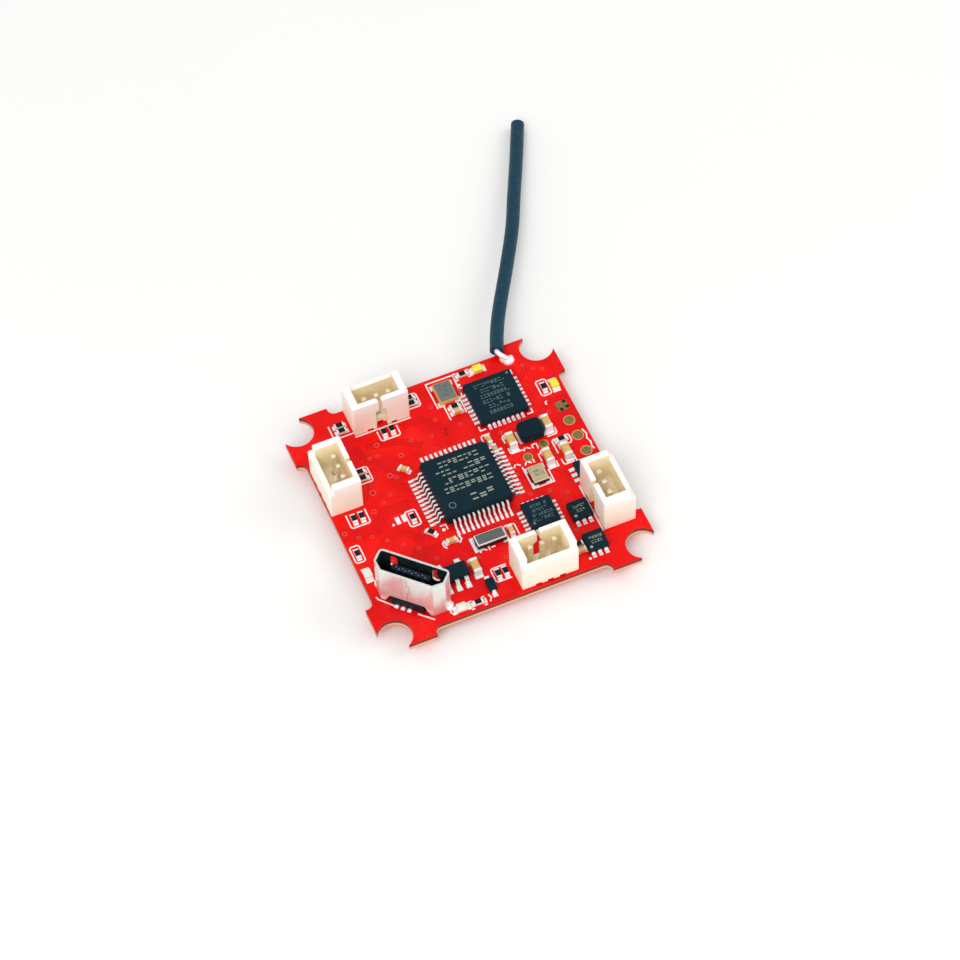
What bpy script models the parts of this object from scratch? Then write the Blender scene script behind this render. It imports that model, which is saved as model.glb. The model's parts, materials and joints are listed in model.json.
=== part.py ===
"""Flight controller board for a small ducted drone, built as an assembly of separate parts.

Metres, +Z up. The origin is at the centre of the board's outline, on the surface that the parts
under the board stand on. +X is to the right and +Y is away, towards the edge with the aerial.
"""

import math

import bmesh
import bpy
from mathutils import Matrix, Vector

MM = 0.001

# Circuit board: a square with four corner ears, each notched for a grommet on a 25.5 mm square.
EDGE_HALF = 13.35 * MM
EAR_HALF = 14.25 * MM
EAR_START = 9.05 * MM
EAR_FILLET = 0.7 * MM
NOTCH_CENTRE = 12.75 * MM
NOTCH_RADIUS = 1.7 * MM
NOTCH_STEPS = 22
FILLET_STEPS = 5
BOARD_THICKNESS = 0.8 * MM

# Levels. Solder holds each part a little off the board.
SOLDER_GAP = 0.03 * MM
TALLEST_BELOW = 1.1 * MM
BOARD_BOTTOM = TALLEST_BELOW + SOLDER_GAP
BOARD_TOP = BOARD_BOTTOM + BOARD_THICKNESS

# Motor connectors: 3 contacts at 1.25 mm, upright, with a low outer wall and a keyed inner wall.
PIN_PITCH = 1.25 * MM
PIN_SIZE = 0.45 * MM
PIN_TOP = 3.8 * MM
PIN_TAIL = 0.5 * MM
PIN_CHAMFER = 0.12 * MM
PIN_INWARD = 0.38 * MM
PIN_CLEARANCE = 0.05 * MM
PIN_HOLE_RADIUS = 0.39 * MM
HOUSING_LENGTH = 5.8 * MM
HOUSING_DEPTH = 3.3 * MM
HOUSING_HEIGHT = 4.3 * MM
HOUSING_FLOOR = 0.9 * MM
END_WALL = 0.73 * MM
LONG_WALL = 0.5 * MM
OUTER_WALL_HEIGHT = 3.5 * MM
KEY_SLIT = 0.36 * MM
KEY_SLIT_LIP = 0.2 * MM
KEY_SLIT_BOTTOM = 3.0 * MM
KEY_WINDOW = 1.15 * MM
KEY_WINDOW_TOP = 2.6 * MM
KEY_NOTCH_DEPTH = 0.05 * MM
BASE_CHANNEL = (0.62 * MM, 0.3 * MM)

# Upright micro-USB socket, set across the front left corner.
USB_PLACE = (-9.65 * MM, -9.51 * MM)
USB_TURN = math.radians(-45)
USB_HEIGHT = 4.9 * MM
USB_HALF_DEPTH = 1.2 * MM
USB_WIDE_HALF = 3.6 * MM
USB_NARROW_HALF = 2.7 * MM
USB_SHOULDER = -0.25 * MM
USB_CORNER = 0.45 * MM
USB_WALL = 0.22 * MM
USB_WINDOW_PLACE = 2.15 * MM
USB_WINDOW_WIDTH = 0.75 * MM
USB_WINDOW_LOW = 2.7 * MM
USB_WINDOW_HIGH = 4.45 * MM
USB_WINDOW_CORNER = 0.22 * MM
USB_ARCH_FOOT = 2.3 * MM
USB_ARCH_CROWN = 1.75 * MM
USB_ARCH_HEIGHT = 1.05 * MM
USB_BASE_HEIGHT = 1.6 * MM
USB_TONGUE_SIZE = (3.9 * MM, 0.62 * MM)
USB_TONGUE_TOP = 4.3 * MM
USB_TONGUE_PLACE = 0.1 * MM

# Chip packages: length, width and height.
PROCESSOR_BODY = (7.0 * MM, 7.0 * MM, 1.4 * MM)
PROCESSOR_LEADS = 12
PROCESSOR_PITCH = 0.5 * MM
RECEIVER_SIZE = (5.0 * MM, 5.0 * MM, 0.85 * MM)
CONTROLLER_SIZE = (3.0 * MM, 3.0 * MM, 0.75 * MM)
DRIVER_SIZE = (2.0 * MM, 2.0 * MM, 0.75 * MM)
GYRO_SIZE = (4.0 * MM, 4.0 * MM, 0.9 * MM)
OVERLAY_BODY = (9.7 * MM, 4.4 * MM, 1.0 * MM)
OVERLAY_LEADS = 14
OVERLAY_PITCH = 0.65 * MM
REGULATOR_BODY = (2.9 * MM, 1.6 * MM, 1.0 * MM)
REGULATOR_PITCH = 0.95 * MM
DIODE_BODY = (0.85 * MM, 1.3 * MM, 0.6 * MM)
INDUCTOR_SIZE = (2.5 * MM, 2.05 * MM, 1.2 * MM)
INDUCTOR_CORNER = 0.3 * MM
BODY_STANDOFF = 0.1 * MM
BODY_BEVEL = 0.06 * MM

# Aerial: a quarter wave of insulated wire, soldered at the back edge. The route's points are the
# sheath's centre line. It leaves over the board's edge and comes down to the surface at its tip.
SHEATH_DIAMETER = 1.4 * MM
SHEATH_SIDES = 2
SHEATH_SPACING = 2.6 * MM
CORE_DIAMETER = 0.42 * MM
AERIAL_ROUTE_MM = [
    (8.78, 13.32, 2.76),
    (9.78, 15.62, 2.56),
    (11.24, 18.41, 2.34),
    (13.97, 23.03, 2.01),
    (16.64, 27.77, 1.66),
    (18.57, 31.79, 1.38),
    (20.82, 36.42, 1.04),
    (22.98, 41.05, 0.73),
]
CORE_ROUTE_MM = [(8.73, 13.16, 2.74), (8.86, 12.9, 2.67), (9.12, 12.62, 2.53)]
JOINT_PLACE_MM = (9.6, 12.25)
JOINT_RADII = (0.5 * MM, 0.45 * MM, 0.28 * MM)

# Where the parts sit, in millimetres from the board's centre, and how far they are turned.
HOUSING_PLACES = {
    "back": (-4.8, 11.62, 0),
    "left": (-11.62, 4.93, 90),
    "front": (3.05, -11.4, 180),
    "right": (11.62, -7.06, 270),
}
FRONT_DRIVER_PLACES = [(8.67, -7.09), (8.6, -10.92), (11.2, -2.95)]
LAMP_PLACES = {
    "lamp_back": (6.3, 12.45, 0),
    "lamp_right": (12.5, 7.7, 90),
    "lamp_left": (-12.6, -5.5, 90),
    "lamp_front": (-5.9, -12.55, 0),
}
CAPACITOR_PLACES = [(5.9, 3.05), (9.87, 3.6), (8.43, -0.1), (10.33, -0.15), (-2.97, -8.97)]
BACK_CONTROLLER_PLACES = [(-5.4, 2.2), (-4.6, 5.9), (5.6, -5.7)]
BACK_DRIVER_PLACES = [
    (-8.9, 6.3), (-8.9, 3.8), (-8.9, 1.3),
    (-7.3, 8.9), (-4.8, 8.9), (-2.3, 8.9),
    (8.9, -3.2), (8.9, -5.7), (8.9, -8.2),
]
SUPPLY_CAPACITOR_PLACES = [(-10.6, -6.2), (6.2, -10.8)]
CAPACITOR_SIZE = (0.8 * MM, 1.6 * MM, 0.8 * MM)
SUPPLY_CAPACITOR_SIZE = (1.25 * MM, 2.0 * MM, TALLEST_BELOW)
SHUNT_SIZE = (1.6 * MM, 3.2 * MM, 0.6 * MM)
LAMP_SIZE = (1.35 * MM, 0.8 * MM, 0.2 * MM)
LAMP_LENS = (0.9 * MM, 0.8 * MM, 0.45 * MM)
END_BAND = 0.3 * MM
END_BAND_PROUD = 0.02 * MM
CRYSTAL_LID_INSET = 0.16 * MM

WELD = 1e-7


# --- Scene, materials and basic shapes ---


def clear_scene():
    for obj in list(bpy.data.objects):
        bpy.data.objects.remove(obj, do_unlink=True)


def new_collection(name):
    collection = bpy.data.collections.new(name)
    bpy.context.scene.collection.children.link(collection)
    return collection


def material(name, colour, roughness, metallic=0.0):
    made = bpy.data.materials.new(name)
    made.use_nodes = True
    shader = made.node_tree.nodes["Principled BSDF"]
    shader.inputs["Base Color"].default_value = (*colour, 1.0)
    shader.inputs["Roughness"].default_value = roughness
    shader.inputs["Metallic"].default_value = metallic
    return made


def mesh_from(bm, name):
    bmesh.ops.recalc_face_normals(bm, faces=bm.faces)
    mesh = bpy.data.meshes.new(name)
    bm.to_mesh(mesh)
    bm.free()
    return mesh


def box(name, size, low=(0, 0, 0), bevel=0.0):
    """A box centred in X and Y on low, which gives the middle of its underside."""
    bm = bmesh.new()
    centre = Vector(low) + Vector((0, 0, size[2] / 2))
    bmesh.ops.create_cube(bm, matrix=Matrix.Translation(centre) @ Matrix.Diagonal((*size, 1)))
    if bevel:
        bmesh.ops.bevel(bm, geom=bm.edges[:], offset=bevel, segments=1, affect="EDGES")
    return mesh_from(bm, name)


def evaluated_mesh(obj):
    graph = bpy.context.evaluated_depsgraph_get()
    return bpy.data.meshes.new_from_object(obj.evaluated_get(graph))


def extruded(name, outlines, height):
    """The flat outlines, as one face with any inner outlines as holes, raised from Z = 0 to height."""
    curve = bpy.data.curves.new(name, "CURVE")
    curve.dimensions = "2D"
    curve.fill_mode = "BOTH"
    curve.extrude = height / 2
    for points in outlines:
        spline = curve.splines.new("POLY")
        spline.points.add(len(points) - 1)
        for target, (x, y) in zip(spline.points, points):
            target.co = (x, y, 0, 1)
        spline.use_cyclic_u = True
    guide = bpy.data.objects.new(name, curve)
    bpy.context.scene.collection.objects.link(guide)
    bm = bmesh.new()
    bm.from_mesh(evaluated_mesh(guide))
    bpy.data.objects.remove(guide, do_unlink=True)
    bmesh.ops.remove_doubles(bm, verts=bm.verts, dist=WELD)
    bmesh.ops.dissolve_limit(bm, angle_limit=0.01, verts=bm.verts, edges=bm.edges)
    bmesh.ops.translate(bm, verts=bm.verts, vec=(0, 0, height / 2))
    return mesh_from(bm, name)


def merged(name, meshes):
    """One mesh that holds several, given as (mesh, matrix) pairs."""
    bm = bmesh.new()
    for mesh, matrix in meshes:
        before = len(bm.verts)
        bm.from_mesh(mesh)
        bm.verts.ensure_lookup_table()
        bmesh.ops.transform(bm, matrix=matrix, verts=bm.verts[before:])
    return mesh_from(bm, name)


def cut_and_joined(name, body, steps):
    """The body after Booleans with each (operation, mesh) in turn. The tools stay as hidden wires."""
    target = bpy.data.objects.new(name, body)
    CUTTERS.objects.link(target)
    for number, (operation, tool_mesh) in enumerate(steps):
        tool = bpy.data.objects.new(f"{name}_tool_{number}", tool_mesh)
        CUTTERS.objects.link(tool)
        tool.hide_render = True
        tool.display_type = "WIRE"
        boolean = target.modifiers.new(operation.lower(), "BOOLEAN")
        boolean.operation = operation
        boolean.object = tool
    mesh = evaluated_mesh(target)
    mesh.name = name
    bpy.data.objects.remove(target, do_unlink=True)
    return mesh


def through_wall(name, outline, depth, wall_face):
    """A cutter with the given outline in X and Z, which runs back from wall_face along -Y."""
    flat = extruded(name, [outline], depth)
    return merged(name, [(flat, Matrix.Translation((0, wall_face, 0)) @ Matrix.Rotation(math.pi / 2, 4, "X"))])


def add_part(name, mesh, finish, x=0.0, y=0.0, z=0.0, turn=0.0, below=False):
    """Links a part. One that is below the board is turned over about X, so it hangs from its base."""
    if finish.name not in mesh.materials:
        mesh.materials.append(finish)
    part = bpy.data.objects.new(name, mesh)
    part.location = (x, y, z)
    part.rotation_euler = (math.pi if below else 0.0, 0.0, turn)
    PARTS.objects.link(part)
    return part


def on_top(name, mesh, finish, place, turn_degrees=0):
    level = BOARD_TOP + SOLDER_GAP
    return add_part(name, mesh, finish, place[0] * MM, place[1] * MM, level, math.radians(turn_degrees))


def underneath(name, mesh, finish, place, turn_degrees=0):
    level = BOARD_BOTTOM - SOLDER_GAP
    turn = math.radians(turn_degrees)
    return add_part(name, mesh, finish, place[0] * MM, place[1] * MM, level, turn, below=True)


def arc(centre, radius, start, end, steps):
    """Points on an arc, in degrees, ends included."""
    angles = [math.radians(start + (end - start) * i / steps) for i in range(steps + 1)]
    return [(centre[0] + radius * math.cos(a), centre[1] + radius * math.sin(a)) for a in angles]


def turned(points, quarter_turns):
    for _ in range(quarter_turns):
        points = [(-y, x) for x, y in points]
    return points


# --- Circuit board ---


def board_corner():
    """The outline from the right edge round the back right ear to the back edge."""
    reach = EAR_HALF - NOTCH_CENTRE
    rise = math.degrees(math.acos(reach / NOTCH_RADIUS))
    points = arc((EDGE_HALF + EAR_FILLET, EAR_START - EAR_FILLET), EAR_FILLET, 180, 90, FILLET_STEPS)
    points.append((EAR_HALF, EAR_START))
    points += arc((NOTCH_CENTRE, NOTCH_CENTRE), NOTCH_RADIUS, -rise, rise - 270, NOTCH_STEPS)
    points.append((EAR_START, EAR_HALF))
    points += arc((EAR_START - EAR_FILLET, EDGE_HALF + EAR_FILLET), EAR_FILLET, 0, -90, FILLET_STEPS)
    return points


def split_off_ears(mesh):
    """Makes the top and the bottom one face each, and cuts both across the root of each ear."""
    root = EAR_START - EAR_FILLET
    bm = bmesh.new()
    bm.from_mesh(mesh)
    for level in (0.0, BOARD_THICKNESS):
        flat = [face for face in bm.faces if all(abs(v.co.z - level) < WELD for v in face.verts)]
        bmesh.ops.dissolve_faces(bm, faces=flat)
        for side_x in (-1, 1):
            for side_y in (-1, 1):
                ends = [(side_x * EDGE_HALF, side_y * root, level), (side_x * root, side_y * EDGE_HALF, level)]
                pair = [min(bm.verts, key=lambda v: (v.co - Vector(end)).length) for end in ends]
                bmesh.ops.connect_verts(bm, verts=pair)
    bm.to_mesh(mesh)
    bm.free()


def pin_places():
    """The name, X, Y and turn of every contact. Contacts stand nearer the keyed inner wall."""
    places = []
    for side, (x, y, turn) in HOUSING_PLACES.items():
        spin = Matrix.Rotation(math.radians(turn), 2)
        for offset, letter in zip((-PIN_PITCH, 0.0, PIN_PITCH), "abc"):
            pin = spin @ Vector((offset, -PIN_INWARD))
            places.append((f"connector_{side}_pin_{letter}", x * MM + pin.x, y * MM + pin.y, turn))
    return places


def make_board():
    corner = board_corner()
    outline = [point for number in range(4) for point in turned(corner, number)]
    blank = extruded("board_blank", [outline], BOARD_THICKNESS)
    split_off_ears(blank)
    drill = extruded("drill", [arc((0, 0), PIN_HOLE_RADIUS, 0, 337.5, 15)], 3 * BOARD_THICKNESS)
    holes = [(drill, Matrix.Translation((x, y, -BOARD_THICKNESS))) for _, x, y, _ in pin_places()]
    mesh = cut_and_joined("circuit_board", blank, [("DIFFERENCE", merged("pin_holes", holes))])
    add_part("circuit_board", mesh, material("red_board", (0.72, 0.012, 0.01), 0.35), z=BOARD_BOTTOM)


# --- Chips with gull-wing leads ---


def lead_mesh(name, root, shoulder, heel, tip, level, thickness, width):
    """One bent lead along +X, from inside the body at root down to a foot that ends at tip."""
    profile = [
        (root, level),
        (shoulder, level),
        (heel, 0.0),
        (tip, 0.0),
        (tip, thickness),
        (heel + thickness * 0.6, thickness),
        (shoulder + thickness * 0.6, level + thickness),
        (root, level + thickness),
    ]
    flat = extruded(name, [profile], width)
    upright = Matrix.Rotation(math.radians(90), 4, "X") @ Matrix.Translation((0, 0, -width / 2))
    return merged(name, [(flat, upright)])


def lead_row(lead, count, pitch, side_turn):
    """Matrices for a row of leads along one side, which side_turn turns to face."""
    turn = Matrix.Rotation(side_turn, 4, "Z")
    start = -pitch * (count - 1) / 2
    return [(lead, turn @ Matrix.Translation((0, start + pitch * i, 0))) for i in range(count)]


def chip_body(name, size):
    """A moulded body with chamfered edges, standing a little off its leads' feet."""
    return box(name, size, (0, 0, BODY_STANDOFF), BODY_BEVEL)


def make_processor(finish):
    half = PROCESSOR_BODY[0] / 2
    lead = lead_mesh("processor_lead", half - 0.2 * MM, half + 0.25 * MM, half + 0.42 * MM,
                     half + 1.0 * MM, 0.62 * MM, 0.14 * MM, 0.22 * MM)
    leads = []
    for side in range(4):
        leads += lead_row(lead, PROCESSOR_LEADS, PROCESSOR_PITCH, side * math.pi / 2)
    body = chip_body("processor_body", PROCESSOR_BODY)
    mesh = cut_and_joined("main_processor", body, [("UNION", merged("processor_leads", leads))])
    on_top("main_processor", mesh, finish, (-0.1, 0.05))


def make_overlay_chip(finish):
    half = OVERLAY_BODY[1] / 2
    lead = lead_mesh("overlay_lead", half - 0.2 * MM, half + 0.25 * MM, half + 0.42 * MM,
                     half + 1.0 * MM, 0.5 * MM, 0.14 * MM, 0.24 * MM)
    leads = []
    for side in (1, 3):
        leads += lead_row(lead, OVERLAY_LEADS, OVERLAY_PITCH, side * math.pi / 2)
    body = chip_body("overlay_body", OVERLAY_BODY)
    mesh = cut_and_joined("video_overlay_chip", body, [("UNION", merged("overlay_leads", leads))])
    underneath("video_overlay_chip", mesh, finish, (6.5, 8.0))


def make_regulator(finish):
    half = REGULATOR_BODY[1] / 2
    lead = lead_mesh("regulator_lead", half - 0.2 * MM, half + 0.2 * MM, half + 0.32 * MM,
                     half + 0.6 * MM, 0.5 * MM, 0.14 * MM, 0.38 * MM)
    front = lead_row(lead, 3, REGULATOR_PITCH, -math.pi / 2)
    back = lead_row(lead, 2, REGULATOR_PITCH * 2, math.pi / 2)
    body = chip_body("regulator_body", REGULATOR_BODY)
    mesh = cut_and_joined("voltage_regulator", body, [("UNION", merged("regulator_leads", front + back))])
    on_top("voltage_regulator", mesh, finish, (-5.2, -8.95))


def make_diode(finish):
    half = DIODE_BODY[1] / 2
    lead = lead_mesh("diode_lead", half - 0.15 * MM, half + 0.08 * MM, half + 0.16 * MM,
                     half + 0.34 * MM, 0.2 * MM, 0.1 * MM, 0.35 * MM)
    leads = lead_row(lead, 1, 0.0, math.pi / 2) + lead_row(lead, 1, 0.0, -math.pi / 2)
    body = box("diode_body", DIODE_BODY, (0, 0, 0.05 * MM), BODY_BEVEL)
    mesh = cut_and_joined("diode", body, [("UNION", merged("diode_leads", leads))])
    on_top("diode", mesh, finish, (-2.4, -11.4))


# --- Leadless chips and small parts ---


def make_leadless_chips(finish):
    receiver = box("receiver_chip", RECEIVER_SIZE, bevel=BODY_BEVEL)
    on_top("receiver_chip", receiver, finish, (6.5, 8.33))
    controller = box("esc_controller", CONTROLLER_SIZE, bevel=BODY_BEVEL)
    on_top("esc_controller_front", controller, finish, (5.1, -5.9))
    for number, place in enumerate(BACK_CONTROLLER_PLACES, 1):
        underneath(f"esc_controller_back_{number}", controller, finish, place)
    driver = box("motor_driver", DRIVER_SIZE, bevel=BODY_BEVEL)
    for number, place in enumerate(FRONT_DRIVER_PLACES, 1):
        on_top(f"motor_driver_front_{number}", driver, finish, place)
    for number, place in enumerate(BACK_DRIVER_PLACES, 1):
        underneath(f"motor_driver_back_{number}", driver, finish, place)
    gyro = box("motion_sensor", GYRO_SIZE, bevel=BODY_BEVEL)
    underneath("motion_sensor", gyro, finish, (0, 0))


def two_terminal(name, size):
    """A ceramic block with a slightly larger metal band on each end, lying along Y."""
    width, length, height = size
    inner = (width - 2 * END_BAND_PROUD, length - 2 * END_BAND_PROUD, height - 2 * END_BAND_PROUD)
    body = box(f"{name}_body", inner, (0, 0, END_BAND_PROUD))
    steps = []
    for side in (-1, 1):
        band = box(f"{name}_band", (width, END_BAND, height), (0, side * (length - END_BAND) / 2, 0))
        steps.append(("UNION", band))
    return cut_and_joined(name, body, steps)


def make_two_terminal_parts():
    ceramic = material("tan_ceramic", (0.62, 0.45, 0.22), 0.5)
    capacitor = two_terminal("capacitor", CAPACITOR_SIZE)
    for number, place in enumerate(CAPACITOR_PLACES, 1):
        on_top(f"ceramic_capacitor_{number}", capacitor, ceramic, place)
    supply = two_terminal("supply_capacitor", SUPPLY_CAPACITOR_SIZE)
    for number, place in enumerate(SUPPLY_CAPACITOR_PLACES, 1):
        underneath(f"supply_capacitor_{number}", supply, ceramic, place)
    shunt = two_terminal("current_shunt", SHUNT_SIZE)
    underneath("current_shunt", shunt, material("black_resistor", (0.02, 0.02, 0.02), 0.5), (-5.6, -4.2))


def lamp_mesh():
    """A thin base with a raised lens."""
    base = box("lamp_base", LAMP_SIZE)
    lens = box("lamp_lens", LAMP_LENS, (0, 0, LAMP_SIZE[2] / 2), 0.05 * MM)
    return cut_and_joined("lamp", base, [("UNION", lens)])


def make_lamps():
    yellow = material("yellow_lens", (0.95, 0.85, 0.05), 0.35)
    white = material("white_lens", (0.85, 0.86, 0.8), 0.35)
    shapes = {finish.name: lamp_mesh() for finish in (yellow, white)}
    for name, (x, y, turn) in LAMP_PLACES.items():
        finish = yellow if name in ("lamp_back", "lamp_right") else white
        on_top(name, shapes[finish.name], finish, (x, y), turn)


def make_inductor():
    half_x, half_y, cut = INDUCTOR_SIZE[0] / 2, INDUCTOR_SIZE[1] / 2, INDUCTOR_CORNER
    outline = [
        (half_x, cut - half_y), (half_x, half_y - cut), (half_x - cut, half_y), (cut - half_x, half_y),
        (-half_x, half_y - cut), (-half_x, cut - half_y), (cut - half_x, -half_y), (half_x - cut, -half_y),
    ]
    mesh = extruded("power_inductor", [outline], INDUCTOR_SIZE[2])
    part = on_top("power_inductor", mesh, material("black_ferrite", (0.01, 0.012, 0.015), 0.4), (8.04, 3.27))
    bevel = part.modifiers.new("cut_corners", "BEVEL")
    bevel.width = 0.35 * MM
    bevel.segments = 2
    bevel.limit_method = "NONE"


def crystal_mesh(name, size):
    """A ceramic tray with a raised metal lid."""
    width, length, height = size
    tray = box(f"{name}_tray", (width, length, height * 0.75))
    inset = 2 * CRYSTAL_LID_INSET
    lid = box(f"{name}_lid", (width - inset, length - inset, height * 0.5), (0, 0, height * 0.5), 0.04 * MM)
    return cut_and_joined(name, tray, [("UNION", lid)])


def make_crystals():
    metal = material("nickel_lid", (0.6, 0.6, 0.56), 0.3, 1.0)
    on_top("receiver_crystal", crystal_mesh("receiver_crystal", (1.9 * MM, 2.4 * MM, 0.6 * MM)), metal,
           (2.28, 11.1))
    on_top("processor_crystal", crystal_mesh("processor_crystal", (3.0 * MM, 1.3 * MM, 0.75 * MM)), metal,
           (-0.4, -6.5))
    on_top("overlay_crystal", crystal_mesh("overlay_crystal", (1.6 * MM, 2.0 * MM, 0.55 * MM)), metal,
           (6.75, -1.55))


# --- Motor connectors ---


def pin_mesh():
    """A square contact, straight from its tail below the board to its tip in the housing."""
    tail = -(SOLDER_GAP + BOARD_THICKNESS + PIN_TAIL)
    bm = bmesh.new()
    loops = []
    for level, inset in ((tail, PIN_CHAMFER), (tail + PIN_CHAMFER, 0.0), (PIN_TOP - PIN_CHAMFER, 0.0),
                         (PIN_TOP, PIN_CHAMFER)):
        reach = PIN_SIZE / 2 - inset
        corners = [(reach, reach), (-reach, reach), (-reach, -reach), (reach, -reach)]
        loops.append([bm.verts.new((x, y, level)) for x, y in corners])
    for low, high in zip(loops, loops[1:]):
        for here, there in ((0, 1), (1, 2), (2, 3), (3, 0)):
            bm.faces.new((low[here], low[there], high[there], high[here]))
    bm.faces.new(loops[0])
    bm.faces.new(loops[-1])
    return mesh_from(bm, "pin")


def key_opening():
    """The keyed wall's opening: a wide window, narrowing to a slit that flares at the rim."""
    window = KEY_WINDOW / 2
    slit = KEY_SLIT / 2
    over = 1.0 * MM
    right = [
        (window, -over),
        (window, KEY_WINDOW_TOP),
        (slit, KEY_SLIT_BOTTOM),
        (slit, HOUSING_HEIGHT - KEY_SLIT_LIP),
        (slit + KEY_SLIT_LIP, HOUSING_HEIGHT),
        (slit + KEY_SLIT_LIP, HOUSING_HEIGHT + over),
    ]
    left = [(-x, z) for x, z in reversed(right)]
    depth = LONG_WALL + KEY_NOTCH_DEPTH + over
    return through_wall("key_opening", right + left, depth, LONG_WALL + KEY_NOTCH_DEPTH - HOUSING_DEPTH / 2)


def housing_mesh():
    """The housing, with its low outer wall at +Y and its keyed inner wall at -Y."""
    body = box("housing_body", (HOUSING_LENGTH, HOUSING_DEPTH, HOUSING_HEIGHT), bevel=0.08 * MM)
    over = 1.0 * MM
    cavity_depth = HOUSING_DEPTH - 2 * LONG_WALL
    cavity = box("cavity", (HOUSING_LENGTH - 2 * END_WALL, cavity_depth, HOUSING_HEIGHT),
                 (0, 0, HOUSING_FLOOR))
    low_wall = box("low_wall", (HOUSING_LENGTH + over, LONG_WALL + over, HOUSING_HEIGHT),
                   (0, HOUSING_DEPTH / 2 + (over - LONG_WALL) / 2, OUTER_WALL_HEIGHT))
    steps = [("DIFFERENCE", tool) for tool in (cavity, low_wall, key_opening())]
    hole_size = PIN_SIZE + 2 * PIN_CLEARANCE
    channel_width, channel_height = BASE_CHANNEL
    for offset in (-PIN_PITCH, 0.0, PIN_PITCH):
        hole = box("pin_hole", (hole_size, hole_size, HOUSING_HEIGHT), (offset, -PIN_INWARD, -over))
        channel = box("base_channel", (channel_width, HOUSING_DEPTH + over, channel_height + over),
                      (offset, 0, -over))
        steps += [("DIFFERENCE", hole), ("DIFFERENCE", channel)]
    return cut_and_joined("connector_housing", body, steps)


def make_connectors():
    cream = material("cream_nylon", (0.86, 0.8, 0.66), 0.5)
    tin = material("tinned_contact", (0.75, 0.73, 0.68), 0.3, 1.0)
    housing = housing_mesh()
    for side, (x, y, turn) in HOUSING_PLACES.items():
        on_top(f"connector_{side}_housing", housing, cream, (x, y), turn)
    pin = pin_mesh()
    for name, x, y, turn in pin_places():
        on_top(name, pin, tin, (x / MM, y / MM), turn)


# --- Micro-USB socket ---


def usb_outline(inset):
    """Half of the socket's outline mirrored: wide and rounded at the back, slanted to the front."""
    wide = USB_WIDE_HALF - inset
    narrow = USB_NARROW_HALF - inset * 0.6
    back = USB_HALF_DEPTH - inset
    radius = max(USB_CORNER - inset, 0.1 * MM)
    right = [(narrow, -back), (wide, USB_SHOULDER)]
    right += arc((wide - radius, back - radius), radius, 0, 90, 4)
    left = [(-x, y) for x, y in reversed(right)]
    return right + left


def usb_shell_mesh():
    """A tube of sheet steel with two latch windows in its wide wall and a cut-away foot in front."""
    outlines = [usb_outline(0.0), usb_outline(USB_WALL)]
    body = extruded("usb_shell_body", outlines, USB_HEIGHT)
    steps = []
    cut = USB_WINDOW_CORNER
    for side in (-1, 1):
        left = side * USB_WINDOW_PLACE - USB_WINDOW_WIDTH / 2
        right = left + USB_WINDOW_WIDTH
        window = [
            (left + cut, USB_WINDOW_LOW), (right - cut, USB_WINDOW_LOW),
            (right, USB_WINDOW_LOW + cut), (right, USB_WINDOW_HIGH - cut),
            (right - cut, USB_WINDOW_HIGH), (left + cut, USB_WINDOW_HIGH),
            (left, USB_WINDOW_HIGH - cut), (left, USB_WINDOW_LOW + cut),
        ]
        steps.append(("DIFFERENCE", through_wall("usb_window", window, 4 * USB_WALL, USB_HALF_DEPTH + USB_WALL)))
    reach = 1.0 * MM
    arch = [
        (-USB_ARCH_FOOT, -reach), (USB_ARCH_FOOT, -reach), (USB_ARCH_FOOT, 0.0),
        (USB_ARCH_CROWN, USB_ARCH_HEIGHT), (-USB_ARCH_CROWN, USB_ARCH_HEIGHT), (-USB_ARCH_FOOT, 0.0),
    ]
    steps.append(("DIFFERENCE", through_wall("usb_arch", arch, 4 * USB_WALL, -USB_HALF_DEPTH + 3 * USB_WALL)))
    return cut_and_joined("usb_shell", body, steps)


def usb_insulator_mesh():
    """The moulded base inside the shell, its heel in the cut-away foot, and the tongue."""
    clearance = 0.05 * MM
    base = extruded("usb_base", [usb_outline(USB_WALL + clearance)], USB_BASE_HEIGHT)
    tongue = box("usb_tongue_bar", (*USB_TONGUE_SIZE, USB_TONGUE_TOP - 1.0 * MM),
                 (0, USB_TONGUE_PLACE, 1.0 * MM), 0.06 * MM)
    heel_depth = 0.7 * MM
    heel_width = 2 * (USB_ARCH_CROWN - 0.05 * MM)
    heel = box("usb_heel", (heel_width, heel_depth, USB_ARCH_HEIGHT - 0.08 * MM),
               (0, -USB_HALF_DEPTH + heel_depth / 2 - 0.12 * MM, 0))
    return cut_and_joined("usb_insulator", base, [("UNION", tongue), ("UNION", heel)])


def make_usb_socket():
    steel = material("plated_steel", (0.7, 0.7, 0.68), 0.22, 1.0)
    black = material("black_insulator", (0.012, 0.013, 0.015), 0.45)
    level = BOARD_TOP + SOLDER_GAP
    add_part("usb_shell", usb_shell_mesh(), steel, *USB_PLACE, level, USB_TURN)
    add_part("usb_insulator", usb_insulator_mesh(), black, *USB_PLACE, level, USB_TURN)


# --- Aerial ---


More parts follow.
